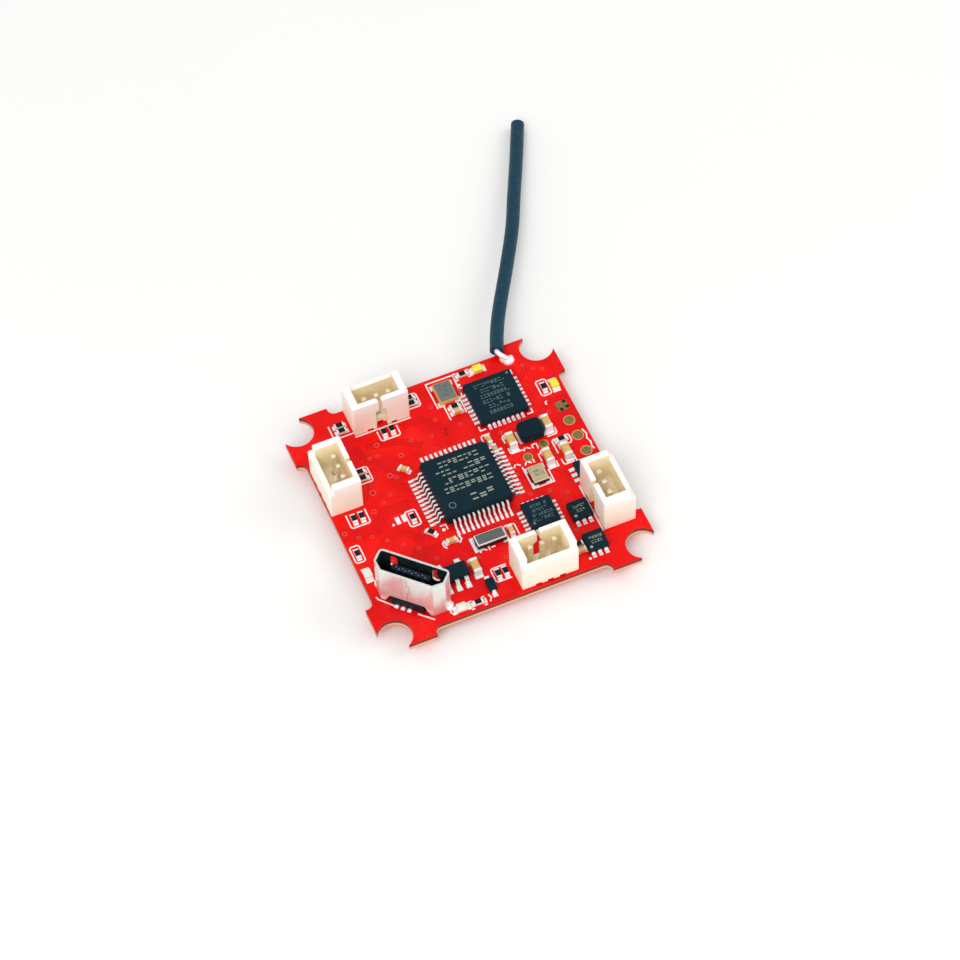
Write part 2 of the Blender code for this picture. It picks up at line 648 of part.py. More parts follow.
def smooth_route(points, spacing):
    """Points at an even spacing along a Catmull-Rom curve through the route."""
    ends = [points[0] * 2 - points[1]] + points + [points[-1] * 2 - points[-2]]
    fine = []
    for before, start, end, after in zip(ends, ends[1:], ends[2:], ends[3:]):
        for step in range(40):
            t = step / 40
            fine.append(0.5 * (2 * start + (end - before) * t
                               + (2 * before - 5 * start + 4 * end - after) * t ** 2
                               + (3 * start - before - 3 * end + after) * t ** 3))
    fine.append(points[-1])
    lengths = [0.0]
    for a, b in zip(fine, fine[1:]):
        lengths.append(lengths[-1] + (b - a).length)
    count = round(lengths[-1] / spacing)
    even = []
    index = 0
    for number in range(count + 1):
        wanted = lengths[-1] * number / count
        while index < len(fine) - 2 and lengths[index + 1] < wanted:
            index += 1
        share = (wanted - lengths[index]) / (lengths[index + 1] - lengths[index])
        even.append(fine[index].lerp(fine[index + 1], share))
    return even


def wire(name, points, diameter, sides, finish):
    curve = bpy.data.curves.new(name, "CURVE")
    curve.dimensions = "3D"
    curve.bevel_depth = diameter / 2
    curve.bevel_resolution = sides
    curve.use_fill_caps = True
    spline = curve.splines.new("POLY")
    spline.points.add(len(points) - 1)
    for target, point in zip(spline.points, points):
        target.co = (*point, 1)
    curve.materials.append(finish)
    part = bpy.data.objects.new(name, curve)
    PARTS.objects.link(part)
    return part


def make_aerial():
    route = [Vector(point) * MM for point in AERIAL_ROUTE_MM]
    black = material("black_sheath", (0.008, 0.02, 0.025), 0.45)
    tin = material("tinned_core", (0.78, 0.77, 0.75), 0.25, 1.0)
    solder = material("solder", (0.8, 0.8, 0.8), 0.3, 1.0)
    wire("aerial_sheath", smooth_route(route, SHEATH_SPACING), SHEATH_DIAMETER, SHEATH_SIDES, black)
    away_from_sheath = (route[0] - route[1]).normalized() * 0.03 * MM
    core_route = [route[0] + away_from_sheath] + [Vector(point) * MM for point in CORE_ROUTE_MM]
    wire("aerial_core", core_route, CORE_DIAMETER, SHEATH_SIDES, tin)
    bm = bmesh.new()
    bmesh.ops.create_uvsphere(bm, u_segments=16, v_segments=8, radius=1.0)
    bmesh.ops.scale(bm, vec=JOINT_RADII, verts=bm.verts)
    blob = mesh_from(bm, "aerial_solder")
    blob.shade_smooth()
    level = BOARD_TOP + SOLDER_GAP + JOINT_RADII[2]
    add_part("aerial_solder", blob, solder, JOINT_PLACE_MM[0] * MM, JOINT_PLACE_MM[1] * MM, level)


CUTTERS = new_collection("cutters")
PARTS = new_collection("flight_controller_board")


def main():
    clear_scene()
    black = material("moulded_black", (0.015, 0.02, 0.024), 0.55)
    make_board()
    make_processor(black)
    make_overlay_chip(black)
    make_regulator(black)
    make_diode(black)
    make_leadless_chips(black)
    make_two_terminal_parts()
    make_lamps()
    make_inductor()
    make_crystals()
    make_connectors()
    make_usb_socket()
    make_aerial()


main()
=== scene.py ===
"""The look of the flight controller board: finishes, printed marks, solder and the smallest parts.

Shapes are made in millimetres. X and Y are measured from the board's centre, and a height is
measured from the board's face that a part sits on. A piece is turned into metres when it is done.
"""

import json
import math
import random

import bmesh
import bpy
from mathutils import Matrix, Vector

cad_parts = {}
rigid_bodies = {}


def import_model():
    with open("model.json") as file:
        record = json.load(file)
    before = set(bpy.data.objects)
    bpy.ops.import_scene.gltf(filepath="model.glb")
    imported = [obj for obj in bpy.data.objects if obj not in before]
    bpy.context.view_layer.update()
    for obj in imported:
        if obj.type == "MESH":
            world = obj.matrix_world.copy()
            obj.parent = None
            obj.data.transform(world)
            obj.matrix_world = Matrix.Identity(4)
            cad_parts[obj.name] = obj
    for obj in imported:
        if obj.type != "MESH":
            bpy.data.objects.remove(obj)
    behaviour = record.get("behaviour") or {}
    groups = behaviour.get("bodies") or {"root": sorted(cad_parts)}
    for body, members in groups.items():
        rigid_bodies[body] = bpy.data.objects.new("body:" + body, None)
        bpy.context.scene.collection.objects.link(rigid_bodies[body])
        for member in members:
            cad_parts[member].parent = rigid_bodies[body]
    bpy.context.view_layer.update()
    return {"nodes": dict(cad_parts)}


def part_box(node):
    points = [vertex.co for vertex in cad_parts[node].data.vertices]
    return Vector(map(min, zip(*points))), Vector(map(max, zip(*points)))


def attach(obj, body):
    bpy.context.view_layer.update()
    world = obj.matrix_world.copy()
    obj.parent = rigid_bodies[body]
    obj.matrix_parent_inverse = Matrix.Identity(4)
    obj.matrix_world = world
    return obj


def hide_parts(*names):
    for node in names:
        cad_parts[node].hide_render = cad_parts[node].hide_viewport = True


MM = 0.001

for leftover in list(bpy.data.objects):
    bpy.data.objects.remove(leftover, do_unlink=True)

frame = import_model()
BOARD_LOW, BOARD_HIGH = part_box("circuit_board")
TOP_LEVEL = BOARD_HIGH.z / MM
UNDER_LEVEL = BOARD_LOW.z / MM

# The camera, from the board's top centre, with a long lens.
CAMERA_PLACE = Vector((-61.4, -165.9, 258.7))
CAMERA_AIM = Vector((1.41, 0.26, 0.0))
CAMERA_ROLL = math.radians(-2.8)
CAMERA_LENS = 121.9
CAMERA_SENSOR = 36.0

# The floor's half width, in metres.
FLOOR_HALF = 2.0

# The aerial's route, as the part's source has it.
AERIAL_ROUTE = [
    (8.78, 13.32, 2.76), (9.78, 15.62, 2.56), (11.24, 18.41, 2.34), (13.97, 23.03, 2.01),
    (16.64, 27.77, 1.66), (18.57, 31.79, 1.38), (20.82, 36.42, 1.04), (22.98, 41.05, 0.73),
]
AERIAL_DIAMETER = 1.4
AERIAL_CORE = [
    (8.95, 13.7, 2.72), (8.78, 13.25, 2.74), (8.88, 12.95, 2.66), (9.12, 12.62, 2.5), (9.5, 12.3, 2.3),
]
AERIAL_JOINT = (9.6, 12.25)

# What lies on the board: heights and line widths. Tracks side by side differ in height by one step.
FOIL = 0.03
FOIL_STEP = 0.0012
TRACK_WIDTH = 0.13
PRINT_HEIGHT = 0.045
PRINT_WIDTH = 0.13
PAD_HEIGHT = 0.05
MARK_HEIGHT = 0.008
BODY_LIFT = 0.03

PLUG_HEIGHT = 4.3
PROCESSOR_TOP = 1.5
PROCESSOR_LEADS = 12
PROCESSOR_PITCH = 0.5
OVERLAY_TOP = 1.1

# The upright socket: its place, and then its front, its tongue's front and its tongue's top from there.
USB_PLACE = (-9.65, -9.51)
USB_FRONT = -1.205
TONGUE_FRONT = -0.22
TONGUE_TOP = 4.29
# Its folded seam, as straight pieces: width, height, place across and height of the foot.
SEAM_WIDTH = 0.03
USB_SEAM = [
    (SEAM_WIDTH, 1.4, 0.05, 1.1), (SEAM_WIDTH, 1.3, 0.3, 2.4), (0.28, SEAM_WIDTH, 0.175, 2.47),
    (0.28, SEAM_WIDTH, 0.175, 3.68), (SEAM_WIDTH, 0.85, 0.05, 3.7),
]

# How shapes are made. The bend limit is the least cosine by which a bend widens a strip, the angles
# are in degrees, and the frame's corners within the merge distance, in metres, become one.
FILLET_STEPS = 5
BODY_EDGE = 0.05
BEND_LIMIT = 0.35
SMOOTH_ANGLE = 35
CHIP_SMOOTH_ANGLE = 25
SOFTENED_SMOOTH_ANGLE = 40
ROUNDED_ANGLE = 28
MERGE_DISTANCE = 2e-7

# Small two-terminal parts: x, y and turn, where turn 0 lies along Y.
SMALL_SIZE = (0.5, 1.0)
SMALL_RESISTORS = [
    (-8.7, 11.67, 90), (-8.7, 10.98, 90), (-4.99, 9.2, 0), (-4.14, 9.25, 0),
    (-8.9, 5.73, 90), (-8.9, 4.93, 90), (-11.43, 0.92, 0), (-10.63, 0.92, 0),
    (-1.22, 11.97, 90), (-1.22, 11.28, 90), (-1.27, -10.43, 0), (-0.5, -10.43, 0),
    (7.0, -10.5, 90), (-12.62, -2.95, 0), (-6.22, -1.21, 0), (-5.25, -3.52, 40),
    (4.68, 12.52, 90), (2.5, 9.2, 90), (10.48, 1.37, 90), (11.42, 7.81, 0), (-4.24, -12.61, 90),
]
SMALL_CAPACITORS = [
    (-3.85, -5.23, 90), (-4.84, 4.29, 45), (3.98, 4.14, 0), (1.8, -6.46, 0), (2.5, 8.55, 90),
    (7.0, -11.25, 90), (4.1, 2.85, 0),
]
UNDER_RESISTORS = [
    (-6.9, 6.9, 0), (-6.9, 5.4, 0), (-7.4, 3.2, 0), (-7.4, 1.8, 0), (-1.9, 5.4, 0), (-1.9, 6.8, 0),
    (-2.5, 3.2, 90), (3.2, 1.2, 0), (3.2, -0.4, 0), (-3.0, 1.2, 0), (-3.0, -0.4, 0), (7.2, -3.0, 0),
    (5.2, -3.2, 90), (3.2, -5.0, 0), (3.2, -6.4, 0), (7.45, -8.2, 0), (11.9, 4.0, 90), (11.9, 3.0, 90),
    (-1.6, -7.4, 90), (0.2, -7.4, 90),
]
UNDER_CAPACITORS = [
    (-3.2, -2.4, 90), (0.0, -3.2, 90), (0.0, 3.3, 90), (-12.0, 0.9, 0), (6.8, 3.6, 90), (8.6, 3.6, 90),
    (8.6, -10.8, 0), (-8.9, -8.0, 0), (-0.8, -11.0, 0), (-3.4, -10.6, 90),
]

# Printed outlines: left, front, right, back, and which sides are drawn.
PRINTED_BOXES = [
    (-9.71, 10.4, -7.6, 12.25, "LFR"),
    (-5.56, 8.36, -3.53, 9.75, "LFR"),
    (-9.75, 4.42, -8.02, 6.24, "FRB"),
    (-12.0, 0.02, -10.05, 1.85, "LFR"),
    (-2.05, 10.8, -0.38, 12.45, "FRB"),
    (-1.75, -11.22, 0.0, -9.62, "LFB"),
    (-13.08, -3.87, -12.12, -1.93, "LFRB"),
    (-6.74, -2.13, -5.65, -0.3, "LFRB"),
    (3.85, 12.1, 5.5, 12.95, "LR"),
    (10.9, 6.9, 11.95, 8.8, "LFRB"),
    (-5.05, -13.05, -3.45, -12.15, "LR"),
    (1.25, -7.25, 2.4, -5.65, "LRB"),
    (3.45, 3.35, 4.55, 4.95, "LB"),
]
# Other printed marks: bent lines, dots as x, y and radius, and rows of dashes as x, y and how many.
PRINTED_LINES = [
    [(0.95, 9.7), (0.92, 12.9), (3.8, 12.9), (3.72, 10.1)],
    [(1.59, 7.93), (1.59, 9.71)],
    [(3.37, 8.2), (3.37, 9.75)],
    [(-12.78, -8.1), (-12.7, -8.4), (-11.55, -9.7)],
    [(-9.9, -11.42), (-8.65, -12.65)],
    [(9.87, -4.25), (9.87, -9.95)],
    [(-7.7, 9.86), (-1.9, 9.86)],
    [(-3.62, -3.75), (-3.62, -3.15), (-4.2, -3.15)],
    [(3.72, 6.1), (3.72, 5.55), (4.3, 5.55)],
    [(9.28, 6.1), (9.28, 5.55), (8.7, 5.55)],
    [(3.72, 10.6), (3.72, 11.12), (4.3, 11.12)],
    [(9.28, 10.6), (9.28, 11.12), (8.7, 11.12)],
    [(5.8, 4.1), (5.45, 4.1), (5.3, 3.85), (5.33, 3.2)],
    [(5.35, 2.55), (5.35, 1.95), (5.5, 1.82), (6.6, 1.82)],
    [(7.6, 2.0), (8.07, 2.0), (8.05, 1.35)],
    [(10.47, 3.05), (10.47, 2.45), (10.3, 2.28), (9.4, 2.28)],
    [(10.45, 1.62), (9.75, 1.72), (9.57, 1.55), (9.57, 0.05)],
    [(11.0, 1.75), (11.3, 1.75), (11.4, 1.6), (11.4, 0.95), (11.2, 0.75), (10.95, 0.75)],
    [(9.57, -0.7), (9.57, -1.25), (9.7, -1.42), (10.65, -1.42)],
    [(10.87, -0.6), (10.87, -1.45), (11.25, -1.55)],
    [(8.2, 0.82), (7.75, 0.7), (7.75, -0.2)],
    [(9.02, -0.65), (9.02, -1.3), (7.92, -1.35), (7.92, -2.8), (5.72, -2.8), (5.72, -0.05)],
    [(12.85, 1.75), (13.02, 1.1), (12.85, 0.6), (13.02, 0.0), (12.9, -0.5), (13.03, -0.85)],
    [(11.05, 6.25), (10.85, 6.1), (10.88, 5.8)],
    [(-4.45, -4.82), (-4.75, -5.1), (-4.7, -5.5), (-4.5, -5.75)],
    [(-3.0, -4.8), (-2.82, -5.25), (-3.15, -5.65)],
    [(-3.0, -12.1), (-2.85, -12.5), (-3.1, -12.9)],
    [(-6.75, -12.0), (-7.0, -12.5), (-6.75, -12.95)],
]
PRINTED_DOTS = [
    (-4.0, -3.65, 0.17), (9.42, -5.95, 0.14), (9.55, -9.75, 0.14), (7.45, -12.35, 0.14),
    (-8.2, -1.2, 0.14), (3.3, -7.85, 0.14), (3.95, 11.5, 0.14),
]
PRINTED_DASHES = [
    (6.75, 1.8, 3), (5.1, 0.34, 2), (6.2, 0.2, 3), (-1.7, -7.35, 4),
]

# Gold test pads: x, y and radius, and the square one with its three holes.
ROUND_PADS = [
    (12.13, 3.2, 0.57), (12.18, 1.24, 0.57), (12.2, -0.76, 0.57), (8.73, 1.64, 0.47), (6.71, 0.8, 0.47),
]
SQUARE_PAD = (12.2, 5.12, 1.2)
SQUARE_PAD_HOLES = [(0.36, 0.4), (0.44, -0.3), (-0.2, -0.42)]
# Tinned pads with no part on them.
BARE_PADS = [(-7.63, -0.9), (-6.98, -0.86)]

# Holes lined with copper: the larger ones as x, y and outer radius, and the smallest as x and y.
LARGE_VIAS = [
    (-8.62, 3.07, 0.34), (-6.19, 8.13, 0.3), (-4.46, 6.05, 0.26), (-6.34, 4.26, 0.3),
    (-5.85, 3.87, 0.22), (-9.32, 0.99, 0.26), (-12.88, -0.25, 0.26),
]
SMALL_VIA = 0.2
SMALL_VIAS = [
    (-7.4, 6.9), (-6.6, 6.9), (-12.7, 9.2), (-7.2, 2.2), (-8.1, 1.6), (-11.8, -1.2), (-10.6, -1.6),
    (-9.4, -2.6), (-8.2, -3.6), (-7.0, -4.6), (-11.0, -3.9), (-9.9, -5.0), (-5.9, -6.4), (-2.2, -7.9),
    (1.1, -8.2), (0.2, -8.9), (3.2, -3.0), (5.2, -3.2), (7.1, -3.6), (8.6, -4.4), (6.3, -8.6),
    (11.4, 10.4), (12.2, 10.0), (10.6, 11.2), (0.2, 8.6), (0.4, 10.2), (-2.9, 7.3), (-0.9, 7.0),
    (2.2, 7.1), (4.9, -0.6), (5.4, 4.6), (10.7, 4.9), (7.6, -8.8),
]

# Tracks: the points of the middle one, how many run side by side, and their spacing.
TRACKS = [
    ([(-7.3, 8.3), (-4.9, 8.0), (-3.4, 7.3), (-2.2, 6.4)], 3, 0.3),
    ([(-3.0, 9.2), (-1.0, 9.2), (0.3, 8.0), (0.9, 6.6)], 3, 0.3),
    ([(-10.3, 1.95), (-8.9, 3.1), (-8.7, 4.2)], 1, 0.3),
    ([(-8.0, 8.9), (-8.0, 7.4), (-6.6, 6.0), (-5.9, 3.9)], 2, 0.35),
    ([(-12.2, -0.9), (-9.8, -0.9), (-8.4, 0.5), (-6.0, 0.5)], 4, 0.3),
    ([(-11.6, -4.6), (-9.4, -2.4), (-7.6, -2.4), (-6.2, -3.8)], 3, 0.3),
    ([(-8.0, -6.6), (-6.4, -5.0), (-4.9, -5.0)], 2, 0.32),
    ([(-3.2, -6.4), (-2.4, -7.3), (0.8, -7.3), (1.6, -8.1), (1.6, -9.4)], 2, 0.32),
    ([(2.6, -4.9), (3.2, -4.3), (3.2, -2.3)], 2, 0.32),
    ([(4.9, 0.9), (5.7, 0.1), (5.7, -2.9), (6.3, -3.6)], 2, 0.3),
    ([(4.9, 2.2), (5.1, 2.2), (5.1, 5.3)], 2, 0.28),
    ([(0.4, 5.2), (0.4, 6.6), (1.7, 7.9), (3.2, 7.9)], 2, 0.3),
    ([(9.9, 5.0), (11.0, 6.1), (13.0, 6.1)], 2, 0.35),
    ([(9.6, 9.6), (10.6, 10.6), (10.6, 11.7)], 2, 0.35),
    ([(9.9, -3.9), (9.2, -2.4), (8.6, -1.4)], 2, 0.35),
    ([(3.9, -8.0), (4.6, -8.7), (6.9, -8.7)], 2, 0.35),
    ([(-3.9, -12.0), (-2.9, -13.0), (-0.6, -13.0)], 2, 0.3),
]
UNDER_TRACKS = [
    ([(-2.3, 2.4), (-3.4, 3.5), (-3.4, 4.2)], 3, 0.3),
    ([(2.3, 2.4), (3.4, 3.5), (3.4, 5.2)], 3, 0.3),
    ([(2.3, -2.4), (4.2, -4.3)], 4, 0.3),
    ([(-2.3, -2.4), (-3.6, -3.7), (-3.6, -8.6)], 3, 0.3),
    ([(-10.4, 1.2), (-12.0, -0.4), (-12.0, -4.4)], 3, 0.32),
    ([(-7.4, -7.4), (-5.0, -9.8), (-1.0, -9.8)], 4, 0.4),
    ([(11.4, 1.2), (9.8, -0.4), (5.0, -0.4)], 4, 0.32),
    ([(0.6, 5.2), (0.6, 9.6), (-0.4, 10.6)], 3, 0.3),
    ([(10.4, -5.9), (10.6, -6.1), (10.9, -6.1)], 1, 0.3),
]
# Bare pads under the board: x, y, width and length.
UNDER_PADS = [
    (-12.3, -7.2, 1.3, 2.2), (-7.2, -12.4, 2.2, 1.2), (12.3, 0.6, 1.0, 1.0), (12.3, -1.2, 1.0, 1.0),
]

# Areas where copper is left whole under the red coating.
COPPER_AREAS = [
    [(-13.1, -1.9), (-13.1, -6.9), (-9.9, -6.9), (-7.0, -4.1), (-7.0, -2.9), (-8.3, -1.9)],
    [(4.2, -8.4), (7.2, -8.4), (7.2, -12.9), (6.1, -12.9), (6.1, -9.2), (4.2, -9.2)],
    [(5.9, 5.0), (10.6, 5.0), (10.6, 2.5), (10.0, 2.0), (5.0, 2.0), (5.0, 4.1)],
    [(-12.9, 8.8), (-9.6, 8.8), (-9.6, 7.2), (-12.9, 7.2)],
    [(9.8, 12.9), (12.9, 9.8), (12.9, 8.9), (10.4, 8.9), (9.8, 9.9)],
]


# --- Materials ---


def new_material(name, colour, roughness, metallic=0.0, shine=0.5):
    finish = bpy.data.materials.new(name)
    finish.use_nodes = True
    shader = finish.node_tree.nodes["Principled BSDF"]
    shader.inputs["Base Color"].default_value = (*colour, 1)
    shader.inputs["Roughness"].default_value = roughness
    shader.inputs["Metallic"].default_value = metallic
    shader.inputs["Specular IOR Level"].default_value = shine
    return finish, finish.node_tree, shader


def new_node(tree, kind):
    return tree.nodes.new("ShaderNode" + kind)


def noise(tree, scale, detail=3.0, stretch=(1, 1, 1)):
    """Noise in object space, with scale in features per millimetre."""
    place = new_node(tree, "TexCoord")
    mapping = new_node(tree, "Mapping")
    mapping.inputs["Scale"].default_value = [scale / MM * share for share in stretch]
    pattern = new_node(tree, "TexNoise")
    pattern.inputs["Scale"].default_value = 1.0
    pattern.inputs["Detail"].default_value = detail
    tree.links.new(place.outputs["Object"], mapping.inputs["Vector"])
    tree.links.new(mapping.outputs["Vector"], pattern.inputs["Vector"])
    return pattern.outputs["Fac"]


def ramp(tree, source, stops):
    """Colours at positions from 0 to 1 along source."""
    node = new_node(tree, "ValToRGB")
    elements = node.color_ramp.elements
    while len(elements) < len(stops):
        elements.new(0.5)
    for element, (position, colour) in zip(elements, stops):
        element.position = position
        element.color = (*colour, 1)
    tree.links.new(source, node.inputs["Fac"])
    return node.outputs["Color"]


def scaled(colour, share):
    return tuple(min(1.0, channel * share) for channel in colour)


def add_bump(tree, shader, source, strength, depth_mm):
    bump = new_node(tree, "Bump")
    bump.inputs["Strength"].default_value = strength
    bump.inputs["Distance"].default_value = depth_mm * MM
    tree.links.new(source, bump.inputs["Height"])
    tree.links.new(bump.outputs["Normal"], shader.inputs["Normal"])


def vary_roughness(tree, shader, source, low, high):
    roughness = ramp(tree, source, [(0.3, (low,) * 3), (0.7, (high,) * 3)])
    tree.links.new(roughness, shader.inputs["Roughness"])


def height_share(tree, low, high):
    """How far up a point lies between two levels, from 0 to 1."""
    place = new_node(tree, "TexCoord")
    split = new_node(tree, "SeparateXYZ")
    tree.links.new(place.outputs["Object"], split.inputs[0])
    share = new_node(tree, "MapRange")
    share.inputs["From Min"].default_value = low
    share.inputs["From Max"].default_value = high
    tree.links.new(split.outputs["Z"], share.inputs["Value"])
    return share.outputs[0]


def varied(name, colour, roughness, metallic=0.0, grain=4.0, spread=0.12, rough_spread=0.08,
           bump=0.15, depth=0.02, stretch=(1, 1, 1), shine=0.5):
    """A finish whose colour, roughness and surface all vary a little with fine noise."""
    finish, tree, shader = new_material(name, colour, roughness, metallic, shine)
    pattern = noise(tree, grain, 4.0, stretch)
    dark, pale = scaled(colour, 1 - spread), scaled(colour, 1 + spread)
    shades = ramp(tree, pattern, [(0.3, dark), (0.7, pale)])
    tree.links.new(shades, shader.inputs["Base Color"])
    low = max(0.0, roughness - rough_spread)
    high = min(1.0, roughness + rough_spread)
    vary_roughness(tree, shader, noise(tree, grain * 0.37, 2.0), low, high)
    add_bump(tree, shader, pattern, bump, depth)
    return finish


def board_material():
    """Red coating on the faces, and layered glass fibre on the cut edges."""
    red = (0.824, 0.0024, 0.002)
    finish, tree, shader = new_material("red_board_look", red, 0.3, shine=0.16)
    coating = ramp(tree, noise(tree, 0.35, 6.0), [
        (0.3, (0.68, 0.003, 0.003)), (0.5, red), (0.7, (0.86, 0.011, 0.007))])
    laminate = ramp(tree, height_share(tree, BOARD_LOW.z, BOARD_HIGH.z), [
        (0.0, (0.5, 0.02, 0.01)), (0.06, (0.8, 0.42, 0.22)), (0.3, (0.85, 0.5, 0.28)),
        (0.42, (0.7, 0.3, 0.14)), (0.5, (0.22, 0.03, 0.02)), (0.66, (0.16, 0.016, 0.012)),
        (0.86, (0.2, 0.012, 0.01)), (0.93, (0.42, 0.008, 0.007)), (1.0, (0.6, 0.006, 0.005))])
    facing = new_node(tree, "NewGeometry")
    normal = new_node(tree, "SeparateXYZ")
    tree.links.new(facing.outputs["Normal"], normal.inputs[0])
    flat = new_node(tree, "Math")
    flat.operation = "ABSOLUTE"
    tree.links.new(normal.outputs["Z"], flat.inputs[0])
    mix = new_node(tree, "Mix")
    mix.data_type = "RGBA"
    tree.links.new(flat.outputs[0], mix.inputs[0])
    tree.links.new(laminate, mix.inputs[6])
    tree.links.new(coating, mix.inputs[7])
    tree.links.new(mix.outputs[2], shader.inputs["Base Color"])
    vary_roughness(tree, shader, noise(tree, 1.3), 0.2, 0.34)
    add_bump(tree, shader, noise(tree, 2.2), 0.12, 0.02)
    return finish


def nylon_painted_light_material():
    """Natural nylon with painted light: whiter at the rim, a painted highlight, and warmer towards the
    board, painted shade.
    """
    finish, tree, shader = new_material("cream_nylon_painted_light", (0.97, 0.9, 0.8), 0.42, shine=0.3)
    # Painted light: the colour follows height, paler at the rim as a painted highlight, and warmer and
    # darker towards the board as painted shade.
    level = height_share(tree, BOARD_HIGH.z, BOARD_HIGH.z + PLUG_HEIGHT * MM)
    wave = new_node(tree, "Math")
    wave.operation = "MULTIPLY_ADD"
    wave.inputs[1].default_value = 0.16
    tree.links.new(noise(tree, 1.2), wave.inputs[0])
    tree.links.new(level, wave.inputs[2])
    shades = ramp(tree, wave.outputs[0], [
        (0.1, (0.96, 0.86, 0.7)), (0.75, (0.97, 0.885, 0.75)), (1.0, (0.99, 0.965, 0.925))])
    tree.links.new(shades, shader.inputs["Base Color"])
    vary_roughness(tree, shader, noise(tree, 0.9, 2.0), 0.36, 0.5)
    add_bump(tree, shader, noise(tree, 2.2, 4.0), 0.12, 0.03)
    return finish


RED_BOARD = board_material()
RED_TRACK = varied("red_over_tracks", (0.66, 0.002, 0.002), 0.28, grain=1.5, spread=0.1, shine=0.2)
RED_RING = varied("red_over_rings", (0.88, 0.055, 0.045), 0.28, grain=1.5, spread=0.1, shine=0.3)
RED_POUR = varied("red_over_pour", (0.87, 0.005, 0.003), 0.28, grain=0.8, spread=0.1, shine=0.16)
PLUGGED = varied("plugged_hole", (0.4, 0.004, 0.004), 0.4, spread=0.2, shine=0.2)
WHITE_PRINT = varied("white_print", (0.93, 0.88, 0.87), 0.5, grain=6.0, spread=0.07, bump=0.3, depth=0.01)
SOLDER = varied("solder_look", (0.97, 0.97, 0.97), 0.34, 0.4, grain=2.0, spread=0.08, rough_spread=0.12,
                bump=0.3)
TIN = varied("tin", (0.97, 0.965, 0.95), 0.34, 0.38, grain=3.0, spread=0.1, rough_spread=0.1, bump=0.25)
GOLD = varied("gold_pad", (0.3, 0.21, 0.075), 0.4, 0.8, grain=5.0, spread=0.35, bump=0.5)
GOLD_EDGE = varied("gold_pad_edge", (0.75, 0.5, 0.2), 0.35, 0.8, spread=0.15, bump=0.3)
BLUE_METAL = varied("contact_metal", (0.1, 0.17, 0.38), 0.3, 0.9, grain=6.0, spread=0.3, bump=0.2)
# Painted shade: a dark disc stands for the shade inside a hole.
HOLE_PAINTED_SHADE = varied("hole_painted_shade", (0.02, 0.012, 0.01), 0.7, grain=8.0, spread=0.3, shine=0.2)
MOULDING = varied("moulded_black_look", (0.004, 0.02, 0.031), 0.5, grain=14.0, spread=0.35,
                  rough_spread=0.1, bump=0.35, depth=0.012, shine=0.1)
CHIP_PRINT = varied("grey_print", (0.28, 0.34, 0.27), 0.6, grain=12.0, spread=0.25, bump=0.2, depth=0.01,
                    shine=0.2)
# Dim print, which also paints the highlight on the edge of the processor's dimple.
DIM_PRINT_AND_DIMPLE_HIGHLIGHT = varied("dim_print_and_dimple_highlight", (0.1, 0.16, 0.17), 0.6, grain=12.0, spread=0.25, bump=0.2, depth=0.01,
                   shine=0.2)
BLACK_GLAZE = varied("black_glaze", (0.006, 0.012, 0.016), 0.35, grain=6.0, spread=0.3, bump=0.2,
                     shine=0.15)
WHITE_CERAMIC = varied("white_ceramic", (0.85, 0.83, 0.8), 0.45, grain=8.0, spread=0.06)
TAN_CERAMIC = varied("tan_ceramic_look", (0.66, 0.43, 0.15), 0.45, grain=5.0, spread=0.16, bump=0.2,
                     shine=0.3)
NYLON = nylon_painted_light_material()
GREY_LID = varied("dull_lid_look", (0.2, 0.21, 0.2), 0.4, 0.5, grain=6.0, spread=0.2, bump=0.3, shine=0.3)
DARK_LID = varied("dark_lid_look", (0.14, 0.15, 0.135), 0.4, 0.5, grain=5.0, spread=0.2, bump=0.3,
                  shine=0.3)
GOLD_LID = varied("gold_lid_look", (0.58, 0.46, 0.26), 0.38, 0.5, grain=5.0, spread=0.16, bump=0.3)
PALE_RIM = varied("pale_rim", (0.88, 0.82, 0.64), 0.34, 0.5, grain=5.0, spread=0.12, bump=0.3)
PIN_METAL = varied("warm_pin_metal", (0.86, 0.77, 0.58), 0.34, 0.5, grain=3.0, spread=0.14, bump=0.3)
# Painted shade: the housings' inward faces take a warmer tan, which stands for the shade and bounced light
# inside them.
NYLON_INSIDE_PAINTED_SHADE = varied("cream_nylon_inside_painted_shade", (1.0, 0.85, 0.58), 0.45, grain=1.6, spread=0.04, shine=0.3)
# Painted shade: the socket sleeve's inward faces are dark, which stands for the shade inside it.
STEEL_INSIDE_PAINTED_SHADE = varied("steel_inside_painted_shade", (0.02, 0.036, 0.036), 0.38, 0.3, grain=2.0, spread=0.4, bump=0.3,
                    shine=0.3)
FERRITE = varied("ferrite_look", (0.002, 0.016, 0.025), 0.36, grain=7.0, spread=0.3, bump=0.3, shine=0.1)
STEEL = varied("plated_steel_look", (0.8, 0.81, 0.78), 0.28, 0.64, grain=1.6, spread=0.07,
               rough_spread=0.07, bump=0.12, stretch=(1, 1, 0.15))
# Painted shade: dark copies under the leads stand for their shaded sides and the shade between them.
LEAD_SIDE_PAINTED_SHADE = varied("lead_sides_painted_shade", (0.05, 0.03, 0.03), 0.5, 0.3, grain=6.0, spread=0.4, shine=0.2)
SEAM = varied("steel_seam", (0.2, 0.19, 0.18), 0.5, 0.5, grain=6.0, spread=0.4)
LINER = varied("black_insulator_look", (0.003, 0.007, 0.011), 0.55, grain=9.0, spread=0.3, bump=0.25,
               shine=0.25)
SHEATH = varied("black_sheath_look", (0.005, 0.044, 0.075), 0.46, grain=3.0, spread=0.25, bump=0.2,
                depth=0.04, shine=0.2)
YELLOW_LENS = varied("yellow_lens_look", (0.9, 0.8, 0.03), 0.35, spread=0.06)
WHITE_LENS = varied("white_lens_look", (0.8, 0.82, 0.7), 0.35, spread=0.05)


# --- Shapes, in millimetres ---


